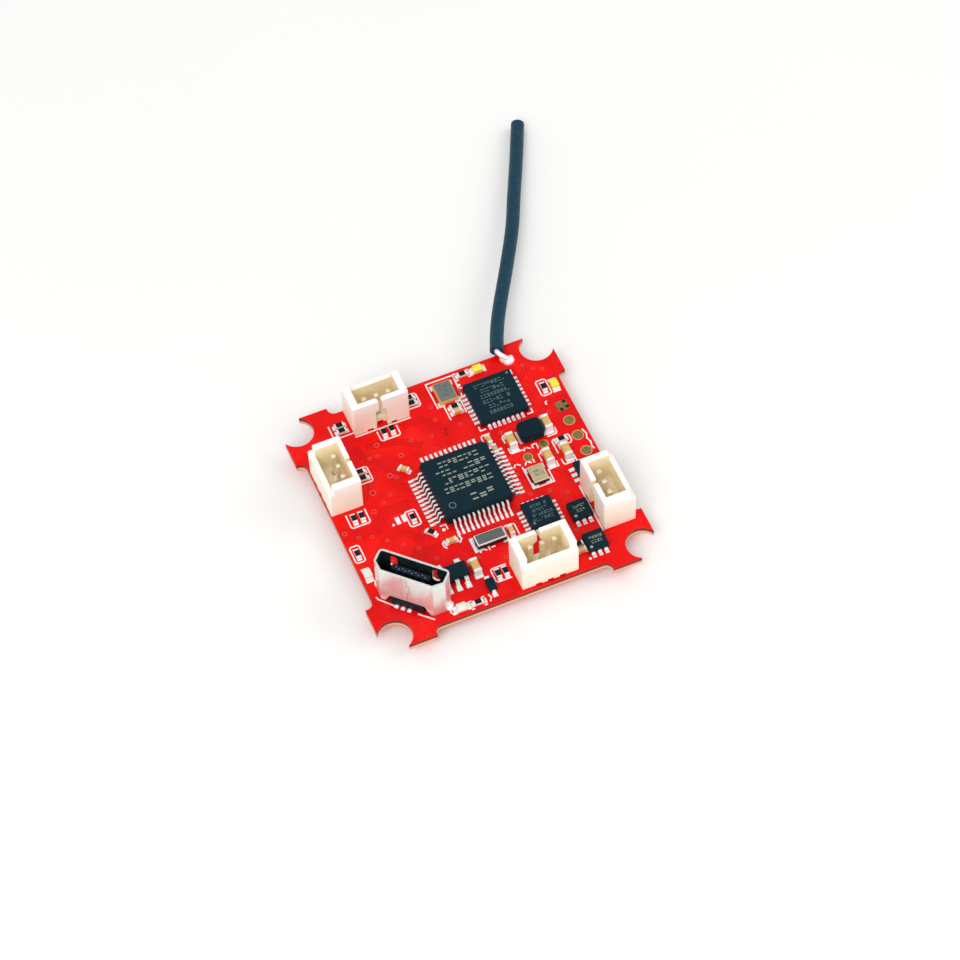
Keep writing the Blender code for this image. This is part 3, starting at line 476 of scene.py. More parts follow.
def turned(degrees):
    return Matrix.Rotation(math.radians(degrees), 4, "Z")


def spot(x, y, turn=0.0, lift=0.0, under=False):
    """Where a shape goes on the board: on its top face, or turned over beneath it."""
    if under:
        turned_over = Matrix.Rotation(math.pi, 4, "X")
        return Matrix.Translation((x, y, UNDER_LEVEL - lift)) @ turned_over @ turned(turn)
    return Matrix.Translation((x, y, TOP_LEVEL + lift)) @ turned(turn)


def shift(x, y, z=0.0):
    return Matrix.Translation((x, y, z))


def end_of(place, side, reach):
    """The end of a part that lies along Y, turned so that +X leads away from it."""
    return place @ shift(0, side * reach) @ turned(side * 90)


def spread(count, pitch):
    """Distances of evenly spaced things from the middle of their row."""
    return [(number - (count - 1) / 2) * pitch for number in range(count)]


def add_object(name, data):
    thing = bpy.data.objects.new(name, data)
    bpy.context.scene.collection.objects.link(thing)
    return thing


def put(name, data):
    """Adds an object that rides with the board."""
    piece = add_object(name, data)
    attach(piece, "root")
    return piece


def dress(mesh, finish, smooth_angle):
    """Gives a mesh its finish, and smooth shading across edges below an angle in degrees."""
    mesh.materials.append(finish)
    mesh.shade_smooth()
    mesh.set_sharp_from_angle(angle=math.radians(smooth_angle))


class Piece:
    """Gathers shapes that share a finish into one object, which rides with the board."""

    def __init__(self, name, finish, slot):
        self.name = name
        self.finish = finish
        self.slot = slot
        self.bm = bmesh.new()

    def add(self, shape, place, x=0.0, y=0.0, z=0.0):
        """Adds a shape at a place, moved in the place's own directions."""
        mesh = bpy.data.meshes.new("shape")
        shape.to_mesh(mesh)
        shape.free()
        mesh.transform(place @ shift(x, y, z))
        self.bm.from_mesh(mesh)
        bpy.data.meshes.remove(mesh)

    def done(self, node=None, smooth_angle=SMOOTH_ANGLE):
        """Makes the object, which may stand for a CAD node."""
        bmesh.ops.scale(self.bm, vec=(MM, MM, MM), verts=self.bm.verts)
        bmesh.ops.recalc_face_normals(self.bm, faces=self.bm.faces)
        mesh = bpy.data.meshes.new(self.name)
        self.bm.to_mesh(mesh)
        self.bm.free()
        dress(mesh, self.finish, smooth_angle)
        piece = put(self.name, mesh)
        if node:
            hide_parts(node)
        return piece


def complete(*pieces):
    for piece in pieces:
        piece.done()


def make_single(name, finish, slot, shape, place, node=None, smooth_angle=SMOOTH_ANGLE):
    """A piece of one shape."""
    piece = Piece(name, finish, slot)
    piece.add(shape, place)
    piece.done(node, smooth_angle)


def block(width, length, height, bevel=0.0, segments=1):
    """A box that stands on the middle of its underside."""
    bm = bmesh.new()
    size = Matrix.Diagonal((width, length, height, 1))
    bmesh.ops.create_cube(bm, matrix=shift(0, 0, height / 2) @ size)
    if bevel:
        bmesh.ops.bevel(bm, geom=bm.edges[:], offset=bevel, segments=segments, profile=0.5, affect="EDGES")
    return bm


def pad(width, length, height=PAD_HEIGHT, bevel=0.01):
    return block(width, length, height, bevel)


def bridge(bm, first, second):
    """Joins two loops of corners with a band of faces."""
    for i, j in zip(range(len(first)), [*range(1, len(first)), 0]):
        bm.faces.new((first[i], first[j], second[j], second[i]))


def slab(outline, height):
    """A flat outline raised to a height."""
    bm = bmesh.new()
    low = [bm.verts.new((x, y, 0)) for x, y in outline]
    high = [bm.verts.new((x, y, height)) for x, y in outline]
    bm.faces.new(list(reversed(low)))
    bm.faces.new(high)
    bridge(bm, low, high)
    return bm


def circle(radius, sides):
    angles = [2 * math.pi * i / sides for i in range(sides)]
    return [(radius * math.cos(angle), radius * math.sin(angle)) for angle in angles]


def disc(radius, height, sides=20):
    return slab(circle(radius, sides), height)


def ring(inner, outer, height, sides=20):
    bm = bmesh.new()
    loops = []
    for radius, z in ((inner, 0), (outer, 0), (outer, height), (inner, height)):
        loops.append([bm.verts.new((x, y, z)) for x, y in circle(radius, sides)])
    for first, second in zip(loops, loops[1:] + loops[:1]):
        bridge(bm, first, second)
    return bm


def beside(points, offset):
    """The same bent line, moved sideways by an even distance."""
    points = [Vector(point) for point in points]
    moved = []
    for i, point in enumerate(points):
        before = (point - points[i - 1]).normalized() if i else None
        after = (points[i + 1] - point).normalized() if i + 1 < len(points) else None
        along = ((before or after) + (after or before)).normalized()
        across = Vector((-along.y, along.x))
        reach = offset / max(BEND_LIMIT, along.dot(after or before))
        moved.append(tuple(point + across * reach))
    return moved


def ribbon(points, width, height):
    """A flat strip of even width along a bent line."""
    left, right = beside(points, width / 2), beside(points, -width / 2)
    return slab(right + left[::-1], height)


def dome(radius_x, radius_y, height):
    """A blob of solder with a round top."""
    bm = bmesh.new()
    bmesh.ops.create_uvsphere(bm, u_segments=18, v_segments=16, radius=1.0)
    bmesh.ops.scale(bm, vec=(radius_x, radius_y, height), verts=bm.verts)
    return bm


def bar(profile, width):
    """A profile in X and Z, with an even width along Y."""
    bm = slab(profile, width)
    upright = Matrix.Rotation(math.pi / 2, 4, "X") @ shift(0, 0, -width / 2)
    bmesh.ops.transform(bm, matrix=upright, verts=bm.verts)
    return bm


def fillet(width, reach, height):
    """Solder drawn up the end of a part: a hollow curve from (reach, 0) to (0, height), along +X."""
    inside = -0.02
    curve = []
    for i in range(FILLET_STEPS + 1):
        angle = math.pi / 2 * i / FILLET_STEPS
        curve.append((reach * (1 - math.sin(angle)), height * (1 - math.cos(angle))))
    return bar([(inside, 0.0), *curve, (inside, height)], width)


def gull_wing(root, shoulder, heel, tip, level, thickness, width):
    """A bent lead along +X, from inside the body at root down to a foot that ends at tip."""
    profile = [
        (root, level), (shoulder, level), (heel, 0), (tip, 0), (tip, thickness),
        (heel + thickness * 0.6, thickness), (shoulder + thickness * 0.6, level + thickness),
        (root, level + thickness),
    ]
    bm = bar(profile, width)
    bmesh.ops.bevel(bm, geom=bm.edges[:], offset=thickness * 0.16, segments=1, affect="EDGES")
    return bm


def moulded_body(width, length, low, high, draft, corner=0.12, back_right=None):
    """A moulded chip body: widest at its parting line, with drafted sides and softened edges."""
    cut = back_right or corner
    parting = (low + (high - low) * 0.48, 0.0)
    shoulder = (high - BODY_EDGE, draft - BODY_EDGE * 0.2)
    bm = bmesh.new()
    loops = []
    for z, inset in ((low, draft), parting, shoulder, (high, draft + BODY_EDGE)):
        x, y = width / 2 - inset, length / 2 - inset
        outline = [
            (x, -y + corner), (x, y - cut), (x - cut, y), (-x + corner, y),
            (-x, y - corner), (-x, -y + corner), (-x + corner, -y), (x - corner, -y),
        ]
        loops.append([bm.verts.new((px, py, z)) for px, py in outline])
    for first, second in zip(loops, loops[1:]):
        bridge(bm, first, second)
    bm.faces.new(list(reversed(loops[0])))
    bm.faces.new(loops[-1])
    return bm


def middle_of(node):
    """The centre of a CAD node in X and Y, in millimetres."""
    low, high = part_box(node)
    return (low.x + high.x) / 2 / MM, (low.y + high.y) / 2 / MM


def size_of(node):
    low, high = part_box(node)
    return tuple((high - low) / MM)


def standing(node, turn=0.0, under=False):
    """Where the shapes that stand for a node go, on the solder that lifts it off the board."""
    return spot(*middle_of(node), turn, BODY_LIFT, under)


def looks_inward(face, middle):
    """Whether an upright wall of a hollow part faces the hollow."""
    out = face.calc_center_median() - middle
    return abs(face.normal.z) < 0.5 and face.normal.x * out.x + face.normal.y * out.y < 0


def softened(node, name, finish, width, segments=2, hollow=None):
    """Stands for a CAD node: its own shape with whole flat faces and rounded edges."""
    bm = bmesh.new()
    bm.from_mesh(frame["nodes"][node].data)
    bmesh.ops.remove_doubles(bm, verts=bm.verts, dist=MERGE_DISTANCE)
    bmesh.ops.dissolve_limit(bm, angle_limit=math.radians(1), verts=bm.verts, edges=bm.edges)
    low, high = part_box(node)
    # Painted shade: faces that look into the hollow take the second finish, which paints the shade inside
    # the hollow.
    for face in bm.faces:
        face.material_index = int(hollow is not None and looks_inward(face, (low + high) / 2))
    mesh = bpy.data.meshes.new(name)
    bm.to_mesh(mesh)
    bm.free()
    dress(mesh, finish, SOFTENED_SMOOTH_ANGLE)
    if hollow:
        mesh.materials.append(hollow)
    piece = put(name, mesh)
    rounding = piece.modifiers.new("rounding", "BEVEL")
    rounding.width = width * MM
    rounding.segments = segments
    rounding.limit_method = "ANGLE"
    rounding.angle_limit = math.radians(ROUNDED_ANGLE)
    rounding.harden_normals = True
    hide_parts(node)


# --- Printed marks, tracks, pads and holes ---


def printed(line):
    return ribbon(line, PRINT_WIDTH, PRINT_HEIGHT)


def add_printed_box(piece, left, front, right, back, sides, under=False):
    """An outline with cut corners, of which only the named sides are drawn."""
    cut, hook = 0.16, 0.3
    outline = [
        (left, back - cut), (left, front + cut), (left + cut, front), (right - cut, front),
        (right, front + cut), (right, back - cut), (right - cut, back), (left + cut, back),
    ]
    lines = []
    for number, (side, next_side) in enumerate(("LF", "FR", "RB", "BL")):
        start, end, next_start = (outline[(number * 2 + step) % 8] for step in range(3))
        if side in sides:
            lines.append([start, end])
        if side in sides and next_side in sides:
            lines.append([end, next_start])
    if sides == "LR":
        for x, inwards in ((left, hook), (right, -hook)):
            lines += [[(x, y), (x + inwards, y)] for y in (front, back)]
    for line in lines:
        piece.add(printed(line), spot(0, 0, under=under))


def make_printed_marks():
    marks = Piece("printed_marks", WHITE_PRINT, "red_board")
    for box in PRINTED_BOXES:
        add_printed_box(marks, *box)
    for line in PRINTED_LINES:
        marks.add(printed(line), spot(0, 0))
    for x, y, radius in PRINTED_DOTS:
        marks.add(disc(radius, PRINT_HEIGHT), spot(x, y))
    for x, y, count in PRINTED_DASHES:
        for number in range(count):
            turn = (-35, 50, 0, 90)[number % 4]
            marks.add(block(0.14, 0.42, PRINT_HEIGHT), spot(x + number * 0.42, y, turn))
    for x, y, turn in UNDER_RESISTORS + UNDER_CAPACITORS:
        half = (0.85, 0.48) if turn == 90 else (0.48, 0.85)
        flipped = (x - half[0], -y - half[1], x + half[0], -y + half[1])
        add_printed_box(marks, *flipped, "LR" if turn == 90 else "FB", under=True)
    marks.done()


def make_tracks():
    tracks = Piece("coated_tracks", RED_TRACK, "red_board")
    for under, table in ((False, TRACKS), (True, UNDER_TRACKS)):
        flip = -1 if under else 1
        for points, count, spacing in table:
            middle_line = [(x, flip * y) for x, y in points]
            for number, offset in enumerate(spread(count, spacing)):
                line = beside(middle_line, offset)
                level = FOIL + number * FOIL_STEP
                tracks.add(ribbon(line, TRACK_WIDTH, level), spot(0, 0, under=under))
                x, y = line[-1]
                tracks.add(disc(TRACK_WIDTH, level - FOIL_STEP / 2), spot(x, flip * y, under=under))
    add_escape_tracks(tracks)
    tracks.done()
    pours = Piece("coated_copper_areas", RED_POUR, "red_board")
    for outline in COPPER_AREAS:
        pours.add(slab(outline, FOIL * 0.6), spot(0, 0))
    pours.done()


def add_escape_tracks(tracks):
    """Short tracks that fan out from some of the processor's leads."""
    x, y = middle_of("main_processor")
    feet = 4.85
    draw = random.Random(7)
    for side in range(4):
        for lead, across in enumerate(spread(PROCESSOR_LEADS, PROCESSOR_PITCH)):
            if draw.random() < 0.5:
                continue
            bend = feet + 0.25 + 0.45 * draw.random()
            slope = (0.3 + 0.9 * draw.random()) * (1 if across > 0 else -1)
            points = [(feet, across), (bend, across), (bend + abs(slope), across + slope)]
            tracks.add(ribbon(points, 0.12, FOIL - (lead + 1) * FOIL_STEP), spot(x, y, side * 90))


def make_holes_and_pads():
    rims = Piece("coated_hole_rims", RED_RING, "red_board")
    holes = Piece("plugged_holes", PLUGGED, "red_board")
    painted_hole_shades = Piece("hole_painted_shade_discs", HOLE_PAINTED_SHADE, "red_board")
    edges = Piece("gold_pad_edges", GOLD_EDGE, "tinned_contact")
    gold = Piece("gold_pads", GOLD, "tinned_contact")
    vias = LARGE_VIAS + [(x, y, SMALL_VIA) for x, y in SMALL_VIAS]
    for under in (False, True):
        for x, y, radius in vias:
            rims.add(ring(radius * 0.55, radius, FOIL + 0.01), spot(x, y, under=under))
            holes.add(disc(radius * 0.5, FOIL * 0.5), spot(x, y, under=under))
    for x, y, radius in ROUND_PADS:
        gold.add(disc(radius - 0.05, PAD_HEIGHT, 32), spot(x, y))
        edges.add(ring(radius - 0.07, radius + 0.02, PAD_HEIGHT + 0.01, 32), spot(x, y))
    x, y, width = SQUARE_PAD
    gold.add(pad(width, width, bevel=0.02), spot(x, y))
    # Painted shade: each hole in the square pad is a dark disc laid on the pad.
    for dx, dy in SQUARE_PAD_HOLES:
        painted_hole_shades.add(disc(0.19, PAD_HEIGHT + 0.01), spot(x + dx, y + dy))
    for x, y, width, length in UNDER_PADS:
        gold.add(pad(width, length, bevel=0.02), spot(x, y, under=True))
    complete(rims, holes, painted_hole_shades, edges, gold)


# --- Small two-terminal parts ---


def make_small_parts():
    """Each small resistor and capacitor, with its metal ends and solder."""
    glaze = Piece("small_resistor_tops", BLACK_GLAZE, "black_resistor")
    ceramic = Piece("small_resistor_bodies", WHITE_CERAMIC, "black_resistor")
    tan = Piece("small_capacitor_bodies", TAN_CERAMIC, "tan_ceramic")
    ends = Piece("small_part_ends", TIN, "tinned_contact")
    solder = Piece("small_part_solder", TIN, "solder")
    width, length = SMALL_SIZE
    band = length * 0.2
    places = [(place, True, False) for place in SMALL_RESISTORS]
    places += [(place, False, False) for place in SMALL_CAPACITORS]
    places += [(place, True, True) for place in UNDER_RESISTORS]
    places += [(place, False, True) for place in UNDER_CAPACITORS]
    for (x, y, turn), is_resistor, under in places:
        height = 0.34 if is_resistor else 0.48
        here = spot(x, y, turn, BODY_LIFT, under)
        if is_resistor:
            ceramic.add(block(width * 0.96, length * 0.9, height - 0.04), here)
            glaze.add(block(width * 0.98, length * 0.62, 0.06, 0.015), here, 0, 0, height - 0.04)
        else:
            tan.add(block(width * 0.95, length * 0.92, height - 0.02, 0.03), here)
        for side in (-1, 1):
            ends.add(block(width, band, height, 0.03), here, 0, side * (length - band) / 2)
            solder.add(fillet(width * 0.9, 0.15, height * 0.62), end_of(here, side, length / 2))
            foot = pad(width, 0.4, PAD_HEIGHT - BODY_LIFT + 0.01, 0.008)
            solder.add(foot, here, 0, side * length / 2, -BODY_LIFT)
    for x, y in BARE_PADS:
        solder.add(pad(0.42, 0.85), spot(x, y))
    complete(glaze, ceramic, tan, ends, solder)


def make_large_capacitors():
    """Each larger capacitor and the shunt: a ceramic body, metal ends and solder."""
    ends = Piece("large_part_ends", TIN, "tinned_contact")
    solder = Piece("large_part_solder", TIN, "solder")
    nodes = [f"ceramic_capacitor_{number}" for number in range(1, 6)]
    nodes += ["supply_capacitor_1", "supply_capacitor_2", "current_shunt"]
    for node in nodes:
        width, length, height = size_of(node)
        here = standing(node, under=not node.startswith("ceramic"))
        finish, slot = TAN_CERAMIC, "tan_ceramic"
        if node == "current_shunt":
            finish, slot = BLACK_GLAZE, "black_resistor"
        body = block(width - 0.05, length - 0.05, height - 0.05, 0.05, 2)
        make_single(f"{node}_body", finish, slot, body, here @ shift(0, 0, 0.02), node)
        band = min(0.36, length * 0.2)
        for side in (-1, 1):
            ends.add(block(width, band, height, 0.06, 2), here, 0, side * (length - band) / 2)
            solder.add(fillet(width * 0.95, 0.3, height * 0.55), end_of(here, side, length / 2))
            solder.add(pad(width * 1.06, 0.6), here, 0, side * (length / 2 + 0.05), -BODY_LIFT)
    complete(ends, solder)


# --- Chips ---


def add_chip_marks(piece, place, width, rows, row_height, seed, lift, turn=0):
    """Rows of plain short bars where a chip has its print."""
    draw = random.Random(seed)
    spacing = row_height * 1.7
    for row in range(rows):
        y = ((rows - 1) / 2 - row) * spacing
        span = width * (0.62 + 0.38 * draw.random())
        x = -span / 2
        while x < span / 2:
            length = row_height * (0.45 + 0.4 * draw.random())
            for rise in (-0.38, 0.0, 0.38):
                if draw.random() < (0.85 if rise else 0.5):
                    here = shift(x + length / 2, y + rise * row_height, lift)
                    mark = block(length, row_height * 0.22, MARK_HEIGHT)
                    piece.add(mark, place @ turned(turn) @ here)
            x += length + row_height * 0.28


def make_moulded_body(name, node, place, *sizes, **corners):
    shape = moulded_body(*sizes, **corners)
    make_single(name, MOULDING, "black_plastic", shape, place, node, CHIP_SMOOTH_ANGLE)


def make_processor():
    here = standing("main_processor")
    sizes = (7.0, 7.0, 0.1, PROCESSOR_TOP, 0.1)
    make_moulded_body("processor_body", "main_processor", here, *sizes, back_right=0.4)
    leads = Piece("processor_leads", TIN, "tinned_contact")
    sides = Piece("processor_lead_painted_shade", LEAD_SIDE_PAINTED_SHADE, "tinned_contact")
    solder = Piece("processor_solder", TIN, "solder")
    for side in range(4):
        for across in spread(PROCESSOR_LEADS, PROCESSOR_PITCH):
            row = here @ turned(side * 90) @ shift(0, across)
            leads.add(gull_wing(3.35, 3.75, 3.93, 4.5, 0.66, 0.14, 0.21), row)
            # Painted shade: a wider dark copy under each lead stands for its shaded sides and the gaps
            # between the leads.
            sides.add(gull_wing(3.35, 3.74, 3.92, 4.4, 0.65, 0.11, 0.28), row)
            solder.add(pad(1.05, 0.27), row, 4.4, 0, -BODY_LIFT)
            solder.add(fillet(0.22, 0.22, 0.13), row, 4.49, 0)
    complete(leads, sides, solder)
    marks = Piece("processor_marks", CHIP_PRINT, "black_plastic")
    add_chip_marks(marks, here @ shift(0.1, 0.85), 5.6, 4, 0.6, 3, PROCESSOR_TOP)
    add_chip_marks(marks, here @ shift(0.9, -2.25), 2.9, 1, 0.8, 5, PROCESSOR_TOP)
    marks.done()
    # Painted highlight: the dimple is not shaped; a paler ring paints the light on its edge.
    dimple = ring(0.27, 0.37, MARK_HEIGHT, 28)
    place = here @ shift(-2.4, -2.4, PROCESSOR_TOP)
    make_single("processor_dimple_painted_highlight", DIM_PRINT_AND_DIMPLE_HIGHLIGHT, "black_plastic", dimple, place)


def add_edge_pads(piece, place, width, length, counts, pitch):
    """Bare metal pads that show at the foot of a leadless chip, for each side in turn from +X."""
    height = 0.2
    for side, count in enumerate(counts):
        half = (width if side % 2 == 0 else length) / 2
        for across in spread(count, pitch):
            row = place @ turned(side * 90) @ shift(half - 0.02, across)
            piece.add(block(0.06, pitch * 0.5, height, 0.01), row)
            piece.add(fillet(pitch * 0.54, 0.34, height * 0.8), row, 0.03, 0, -0.02)
            piece.add(pad(0.8, pitch * 0.6), row, 0.13, 0, -BODY_LIFT)


def make_leadless_chips():
    pads = Piece("leadless_chip_pads", SOLDER, "solder")
    marks = Piece("leadless_chip_marks", CHIP_PRINT, "black_plastic")
    dim_marks = Piece("leadless_chip_dim_marks", DIM_PRINT_AND_DIMPLE_HIGHLIGHT, "black_plastic")
    # Each row: the node, its pads on each side in turn from +X, their pitch, the span, number, height
    # and turn of its rows of marks, the marks' piece, and its dot's place as a share of its size.
    low_left, high_right = (-0.36, -0.36), (0.42, 0.42)
    chips = [
        ("receiver_chip", (8, 8, 8, 8), 0.5, 3.3, 6, 0.4, 0, dim_marks, high_right),
        ("esc_controller_front", (5, 5, 5, 5), 0.5, 2.2, 4, 0.32, 0, dim_marks, low_left),
        ("motor_driver_front_1", (0, 0, 0, 3), 0.65, 1.2, 2, 0.3, 0, marks, low_left),
        ("motor_driver_front_2", (0, 0, 0, 3), 0.65, 1.2, 2, 0.3, 0, marks, low_left),
        ("motor_driver_front_3", (0, 0, 3, 0), 0.65, 1.2, 2, 0.3, 90, marks, low_left),
        ("motion_sensor", (6, 6, 6, 6), 0.5, 2.6, 3, 0.4, 0, dim_marks, low_left),
    ]
    for number in range(1, 4):
        node = f"esc_controller_back_{number}"
        chips.append((node, (5, 5, 5, 5), 0.5, 2.2, 3, 0.34, 0, dim_marks, low_left))
    for number in range(1, 10):
        node = f"motor_driver_back_{number}"
        chips.append((node, (0, 3, 0, 3), 0.65, 1.2, 2, 0.3, 0, marks, low_left))
    for seed, (node, counts, pitch, span, rows, row_height, turn, piece, dot) in enumerate(chips):
        width, length, height = size_of(node)
        here = standing(node, under="_back_" in node or node == "motion_sensor")
        make_moulded_body(f"{node}_body", node, here, width, length, 0.0, height, 0.015, corner=0.05)
        add_edge_pads(pads, here, width, length, counts, pitch)
        add_chip_marks(piece, here, span, rows, row_height, seed + 20, height, turn)
        piece.add(disc(0.16, MARK_HEIGHT), here, width * dot[0], length * dot[1], height)
    complete(pads, marks, dim_marks)


def make_overlay_chip():
    here = standing("video_overlay_chip", under=True)
    sizes = (9.7, 4.4, 0.08, OVERLAY_TOP, 0.08)
    make_moulded_body("video_overlay_chip_body", "video_overlay_chip", here, *sizes)
    leads = Piece("video_overlay_chip_leads", TIN, "tinned_contact")
    for turn in (90, 270):
        for across in spread(14, 0.65):
            row = here @ turned(turn) @ shift(0, across)
            leads.add(gull_wing(2.05, 2.45, 2.62, 3.2, 0.52, 0.14, 0.24), row)
            leads.add(pad(1.0, 0.34), row, 3.05, 0, -BODY_LIFT)
    leads.done()
    marks = Piece("video_overlay_chip_marks", CHIP_PRINT, "black_plastic")
    add_chip_marks(marks, here, 7.0, 3, 0.55, 11, OVERLAY_TOP)
    marks.add(ring(0.25, 0.36, MARK_HEIGHT, 24), here, -4.1, -1.5, OVERLAY_TOP)
    marks.done()


def make_regulator_and_diode():
    leads = Piece("regulator_and_diode_leads", TIN, "tinned_contact")
    here = standing("voltage_regulator")
    sizes = (2.9, 1.6, 0.1, 1.1, 0.09)
    make_moulded_body("voltage_regulator_body", "voltage_regulator", here, *sizes, corner=0.08)
    legs = [(-90, -0.95), (-90, 0.0), (-90, 0.95), (90, -0.95), (90, 0.95)]
    for turn, across in legs:
        row = here @ turned(turn) @ shift(0, across)
        leads.add(gull_wing(0.65, 1.0, 1.12, 1.4, 0.5, 0.14, 0.4), row)
        leads.add(pad(0.75, 0.55), row, 1.38, 0, -BODY_LIFT)
        leads.add(fillet(0.42, 0.3, 0.13), row, 1.39, 0)
    here = standing("diode")
    make_moulded_body("diode_body", "diode", here, 0.85, 1.3, 0.05, 0.65, 0.05, corner=0.05)
    for turn in (-90, 90):
        row = here @ turned(turn)
        leads.add(gull_wing(0.5, 0.73, 0.81, 1.0, 0.2, 0.1, 0.35), row)
        leads.add(pad(0.5, 0.5), row, 0.98, 0, -BODY_LIFT)
    leads.done()


# --- Crystals, lamps and inductor ---


def make_crystals():
    """Each crystal: a ceramic tray with a bright sealing rim and a lid, on four corner pads."""
    pads = Piece("crystal_pads", TIN, "solder")
    crystals = [
        ("receiver_crystal", GOLD_EDGE, GREY_LID, TAN_CERAMIC),
        ("processor_crystal", TIN, DARK_LID, BLACK_GLAZE),
        ("overlay_crystal", PALE_RIM, GOLD_LID, BLACK_GLAZE),
    ]
    for node, rim_finish, lid_finish, tray_finish in crystals:
        width, length, height = size_of(node)
        here = standing(node)
        tray = block(width, length, height * 0.62, 0.03)
        rim = block(width - 0.06, length - 0.06, height * 0.24, 0.03)
        lid = block(width - 0.26, length - 0.26, height * 0.14, 0.05, 2)
        make_single(f"{node}_tray", tray_finish, "tan_ceramic", tray, here)
        make_single(f"{node}_rim", rim_finish, "nickel_lid", rim, here @ shift(0, 0, height * 0.62))
        place = here @ shift(0, 0, height * 0.85)
        make_single(f"{node}_lid", lid_finish, "nickel_lid", lid, place, node)
        for side_x in (-1, 1):
            for side_y in (-1, 1):
                x, y = side_x * (width / 2 - 0.1), side_y * (length / 2 - 0.1)
                pads.add(pad(0.62, 0.58), here, x, y, -BODY_LIFT)
    x, y = middle_of("processor_crystal")
    pads.add(pad(0.32, 1.75, PAD_HEIGHT + 0.01), spot(x - 1.72, y))
    pads.done()
    marks = Piece("crystal_marks", DIM_PRINT_AND_DIMPLE_HIGHLIGHT, "black_plastic")
    # Each row: the node, then the span, number and height of its rows of marks, and their place across.
    marked = [
        ("receiver_crystal", 1.2, 3, 0.3, 0.0),
        ("overlay_crystal", 0.9, 2, 0.26, 0.0),
        ("processor_crystal", 1.1, 1, 0.4, -0.7),
    ]
    for seed, (node, span, rows, row_height, across) in enumerate(marked):
        here = standing(node) @ shift(across, 0)
        add_chip_marks(marks, here, span, rows, row_height, seed + 60, size_of(node)[2])
    marks.done()


def make_lamps():
    bases = Piece("lamp_bases", WHITE_CERAMIC, "white_lens")
    ends = Piece("lamp_ends", TIN, "tinned_contact")
    lamps = [
        ("lamp_back", 90, YELLOW_LENS, "yellow_lens"), ("lamp_front", 90, WHITE_LENS, "white_lens"),
        ("lamp_left", 0, WHITE_LENS, "white_lens"), ("lamp_right", 0, YELLOW_LENS, "yellow_lens"),
    ]
    for node, turn, finish, slot in lamps:
        here = standing(node, turn)
        bases.add(block(0.74, 1.3, 0.18, 0.02), here)
        lens = block(0.8, 0.92, 0.34, 0.08, 3)
        make_single(f"{node}_lens", finish, slot, lens, here @ shift(0, 0, 0.17), node)
        for side in (-1, 1):
            ends.add(block(0.78, 0.2, 0.2, 0.03), here, 0, side * 0.58)
            ends.add(fillet(0.7, 0.16, 0.17), end_of(here, side, 0.68))
            ends.add(pad(0.8, 0.3), here, 0, side * 0.7, -BODY_LIFT)
    complete(bases, ends)


def make_inductor():
    softened("power_inductor", "power_inductor_body", FERRITE, 0.05)
    feet = Piece("power_inductor_feet", TIN, "solder")
    half = size_of("power_inductor")[0] / 2
    for turn in (180, 0):
        side = standing("power_inductor") @ turned(turn)
        feet.add(pad(0.46, 1.5), side, half - 0.08, 0, -BODY_LIFT)
        feet.add(fillet(1.1, 0.16, 0.26), side, half, 0)
    feet.done()


# --- Plugs, socket and aerial ---


def make_connectors():
    """Each plug's housing and pins, with the pins' solder under the board."""
    joints = Piece("pin_tail_joints", SOLDER, "solder")
    pads = Piece("pin_tail_pads", TIN, "solder")
    for side in ("back", "left", "front", "right"):
        plug = f"connector_{side}"
        softened(f"{plug}_housing", f"{plug}_shell", NYLON, 0.07, 3, NYLON_INSIDE_PAINTED_SHADE)
        for letter in "abc":
            node = f"{plug}_pin_{letter}"
            softened(node, f"{node}_contact", PIN_METAL, 0.04)
            under = spot(*middle_of(node), under=True)
            pads.add(ring(0.3, 0.62, PAD_HEIGHT, 24), under)
            joints.add(dome(0.56, 0.56, 0.2), under)
            joints.add(dome(0.36, 0.36, 0.4), under)
    complete(joints, pads)


def make_usb_socket():
    softened("usb_shell", "usb_sleeve", STEEL, 0.04, hollow=STEEL_INSIDE_PAINTED_SHADE)
    softened("usb_insulator", "usb_liner", LINER, 0.05)
    here = spot(*USB_PLACE, -45, BODY_LIFT)
    seam = Piece("usb_seam", SEAM, "plated_steel")
    for width, height, across, foot in USB_SEAM:
        seam.add(block(width, SEAM_WIDTH, height), here, across, USB_FRONT, foot)
    seam.done()
    contacts = Piece("usb_contacts", BLUE_METAL, "tinned_contact")
    for across in spread(5, 0.65):
        contacts.add(block(0.3, 0.05, 2.3, 0.015), here, across, TONGUE_FRONT, 1.75)
    for number, across in enumerate(spread(10, 0.33)):
        depth = -0.02 if number % 2 else 0.12
        contacts.add(block(0.17, 0.16, 0.02), here, across, depth, TONGUE_TOP)
    contacts.done()
    solder = Piece("usb_solder", SOLDER, "solder")
    for side in (-1, 1):
        tab = here @ shift(side * 3.5, USB_FRONT + 1.6)
        solder.add(block(0.4, 0.7, 0.42, 0.08, 2), tab)
        solder.add(dome(0.42, 0.55, 0.34), tab, side * 0.12, 0, -BODY_LIFT)
    for offset in (-1.0, -0.35, 0.3):
        solder.add(pad(0.42, 0.5), here, offset, USB_FRONT - 0.2, -BODY_LIFT)
        solder.add(dome(0.2, 0.28, 0.16), here, offset, USB_FRONT - 0.15, -BODY_LIFT)
    solder.done()


def smooth_line(points, steps):
    """Points along a Catmull-Rom curve through the given ones."""
    points = [Vector(point) for point in points]
    ends = [points[0] * 2 - points[1], *points, points[-1] * 2 - points[-2]]
    line = []
    for before, start, end, after in zip(ends, ends[1:], ends[2:], ends[3:]):
        for step in range(steps):
            t = step / steps
            line.append(0.5 * (2 * start + (end - before) * t
                               + (2 * before - 5 * start + 4 * end - after) * t ** 2
                               + (3 * start - before - 3 * end + after) * t ** 3))
    return [*line, points[-1]]


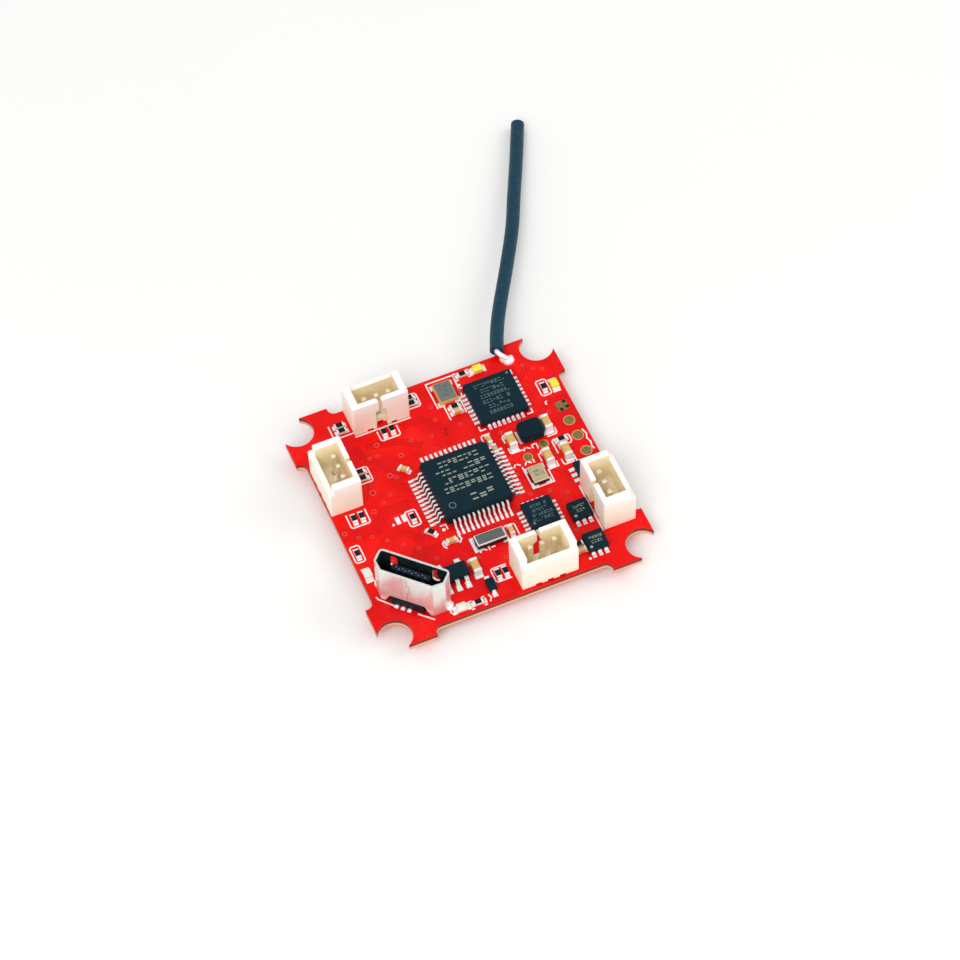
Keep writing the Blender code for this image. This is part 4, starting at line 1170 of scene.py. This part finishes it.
def tube(name, points, radius, finish):
    curve = bpy.data.curves.new(name, "CURVE")
    curve.dimensions = "3D"
    curve.bevel_depth = radius * MM
    curve.bevel_resolution = 6
    curve.use_fill_caps = True
    spline = curve.splines.new("POLY")
    spline.points.add(len(points) - 1)
    for target, point in zip(spline.points, points):
        target.co = (*(Vector(point) * MM), 1)
    spline.use_smooth = True
    curve.materials.append(finish)
    return put(name, curve)


def make_aerial():
    route = smooth_line(AERIAL_ROUTE, 4)
    sheath = tube("aerial_insulation", route, AERIAL_DIAMETER / 2, SHEATH)
    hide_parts("aerial_sheath")
    core_radius = 0.26
    core = tube("aerial_wire", smooth_line(AERIAL_CORE, 5), core_radius, SOLDER)
    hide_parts("aerial_core")
    x, y = AERIAL_JOINT
    blob = Piece("aerial_joint", SOLDER, "solder")
    blob.add(dome(0.6, 0.52, 0.44), spot(x, y, 20))
    blob.add(dome(0.42, 0.62, 0.55), spot(x - 0.3, y + 0.22, 40))
    blob.add(dome(0.3, 0.34, 0.38), spot(x + 0.3, y + 0.22))
    joint = blob.done("aerial_solder")


# --- Studio ---


def make_floor():
    bm = bmesh.new()
    bmesh.ops.create_grid(bm, x_segments=1, y_segments=1, size=FLOOR_HALF)
    mesh = bpy.data.meshes.new("floor")
    bm.to_mesh(mesh)
    bm.free()
    finish, tree, shader = new_material("pale_floor", (0.93, 0.925, 0.91), 0.6)
    shade = ramp(tree, noise(tree, 0.02, 2.0), [(0.2, (0.92, 0.915, 0.9)), (0.8, (0.94, 0.935, 0.925))])
    tree.links.new(shade, shader.inputs["Base Color"])
    mesh.materials.append(finish)
    add_object("floor", mesh)


def make_light(name, place, size, power):
    """A square light at a place in metres, aimed at the board."""
    data = bpy.data.lights.new(name, "AREA")
    data.size = size
    data.energy = power
    light = add_object(name, data)
    light.location = place
    light.rotation_euler = (-Vector(place)).to_track_quat("-Z", "Y").to_euler()


def make_studio():
    make_floor()
    make_light("left_softbox", (-0.28, -0.3, 0.5), 0.35, 1.7)
    make_light("right_softbox", (0.42, -0.12, 0.35), 0.3, 0.55)
    world = bpy.data.worlds.new("studio")
    world.use_nodes = True
    background = world.node_tree.nodes["Background"]
    background.inputs["Color"].default_value = (1, 1, 1, 1)
    background.inputs["Strength"].default_value = 0.72
    bpy.context.scene.world = world
    bpy.context.scene.view_settings.view_transform = "Standard"


def make_camera():
    centre = Vector((0, 0, TOP_LEVEL))
    place = (CAMERA_PLACE + centre) * MM
    aim = (CAMERA_AIM + centre) * MM
    data = bpy.data.cameras.new("camera")
    data.lens = CAMERA_LENS
    data.sensor_width = CAMERA_SENSOR
    data.clip_start = 0.01
    data.clip_end = 10.0
    camera = add_object("camera", data)
    look = (aim - place).to_track_quat("-Z", "Y").to_matrix().to_4x4()
    roll = Matrix.Rotation(CAMERA_ROLL, 4, "Z")
    camera.matrix_world = Matrix.Translation(place) @ look @ roll
    bpy.context.scene.camera = camera


make_camera()
make_aerial()
frame["nodes"]["circuit_board"].material_slots[0].material = RED_BOARD
make_tracks()
make_holes_and_pads()
make_printed_marks()
make_small_parts()
make_large_capacitors()
make_processor()
make_leadless_chips()
make_overlay_chip()
make_regulator_and_diode()
make_crystals()
make_lamps()
make_inductor()
make_connectors()
make_usb_socket()
make_studio()
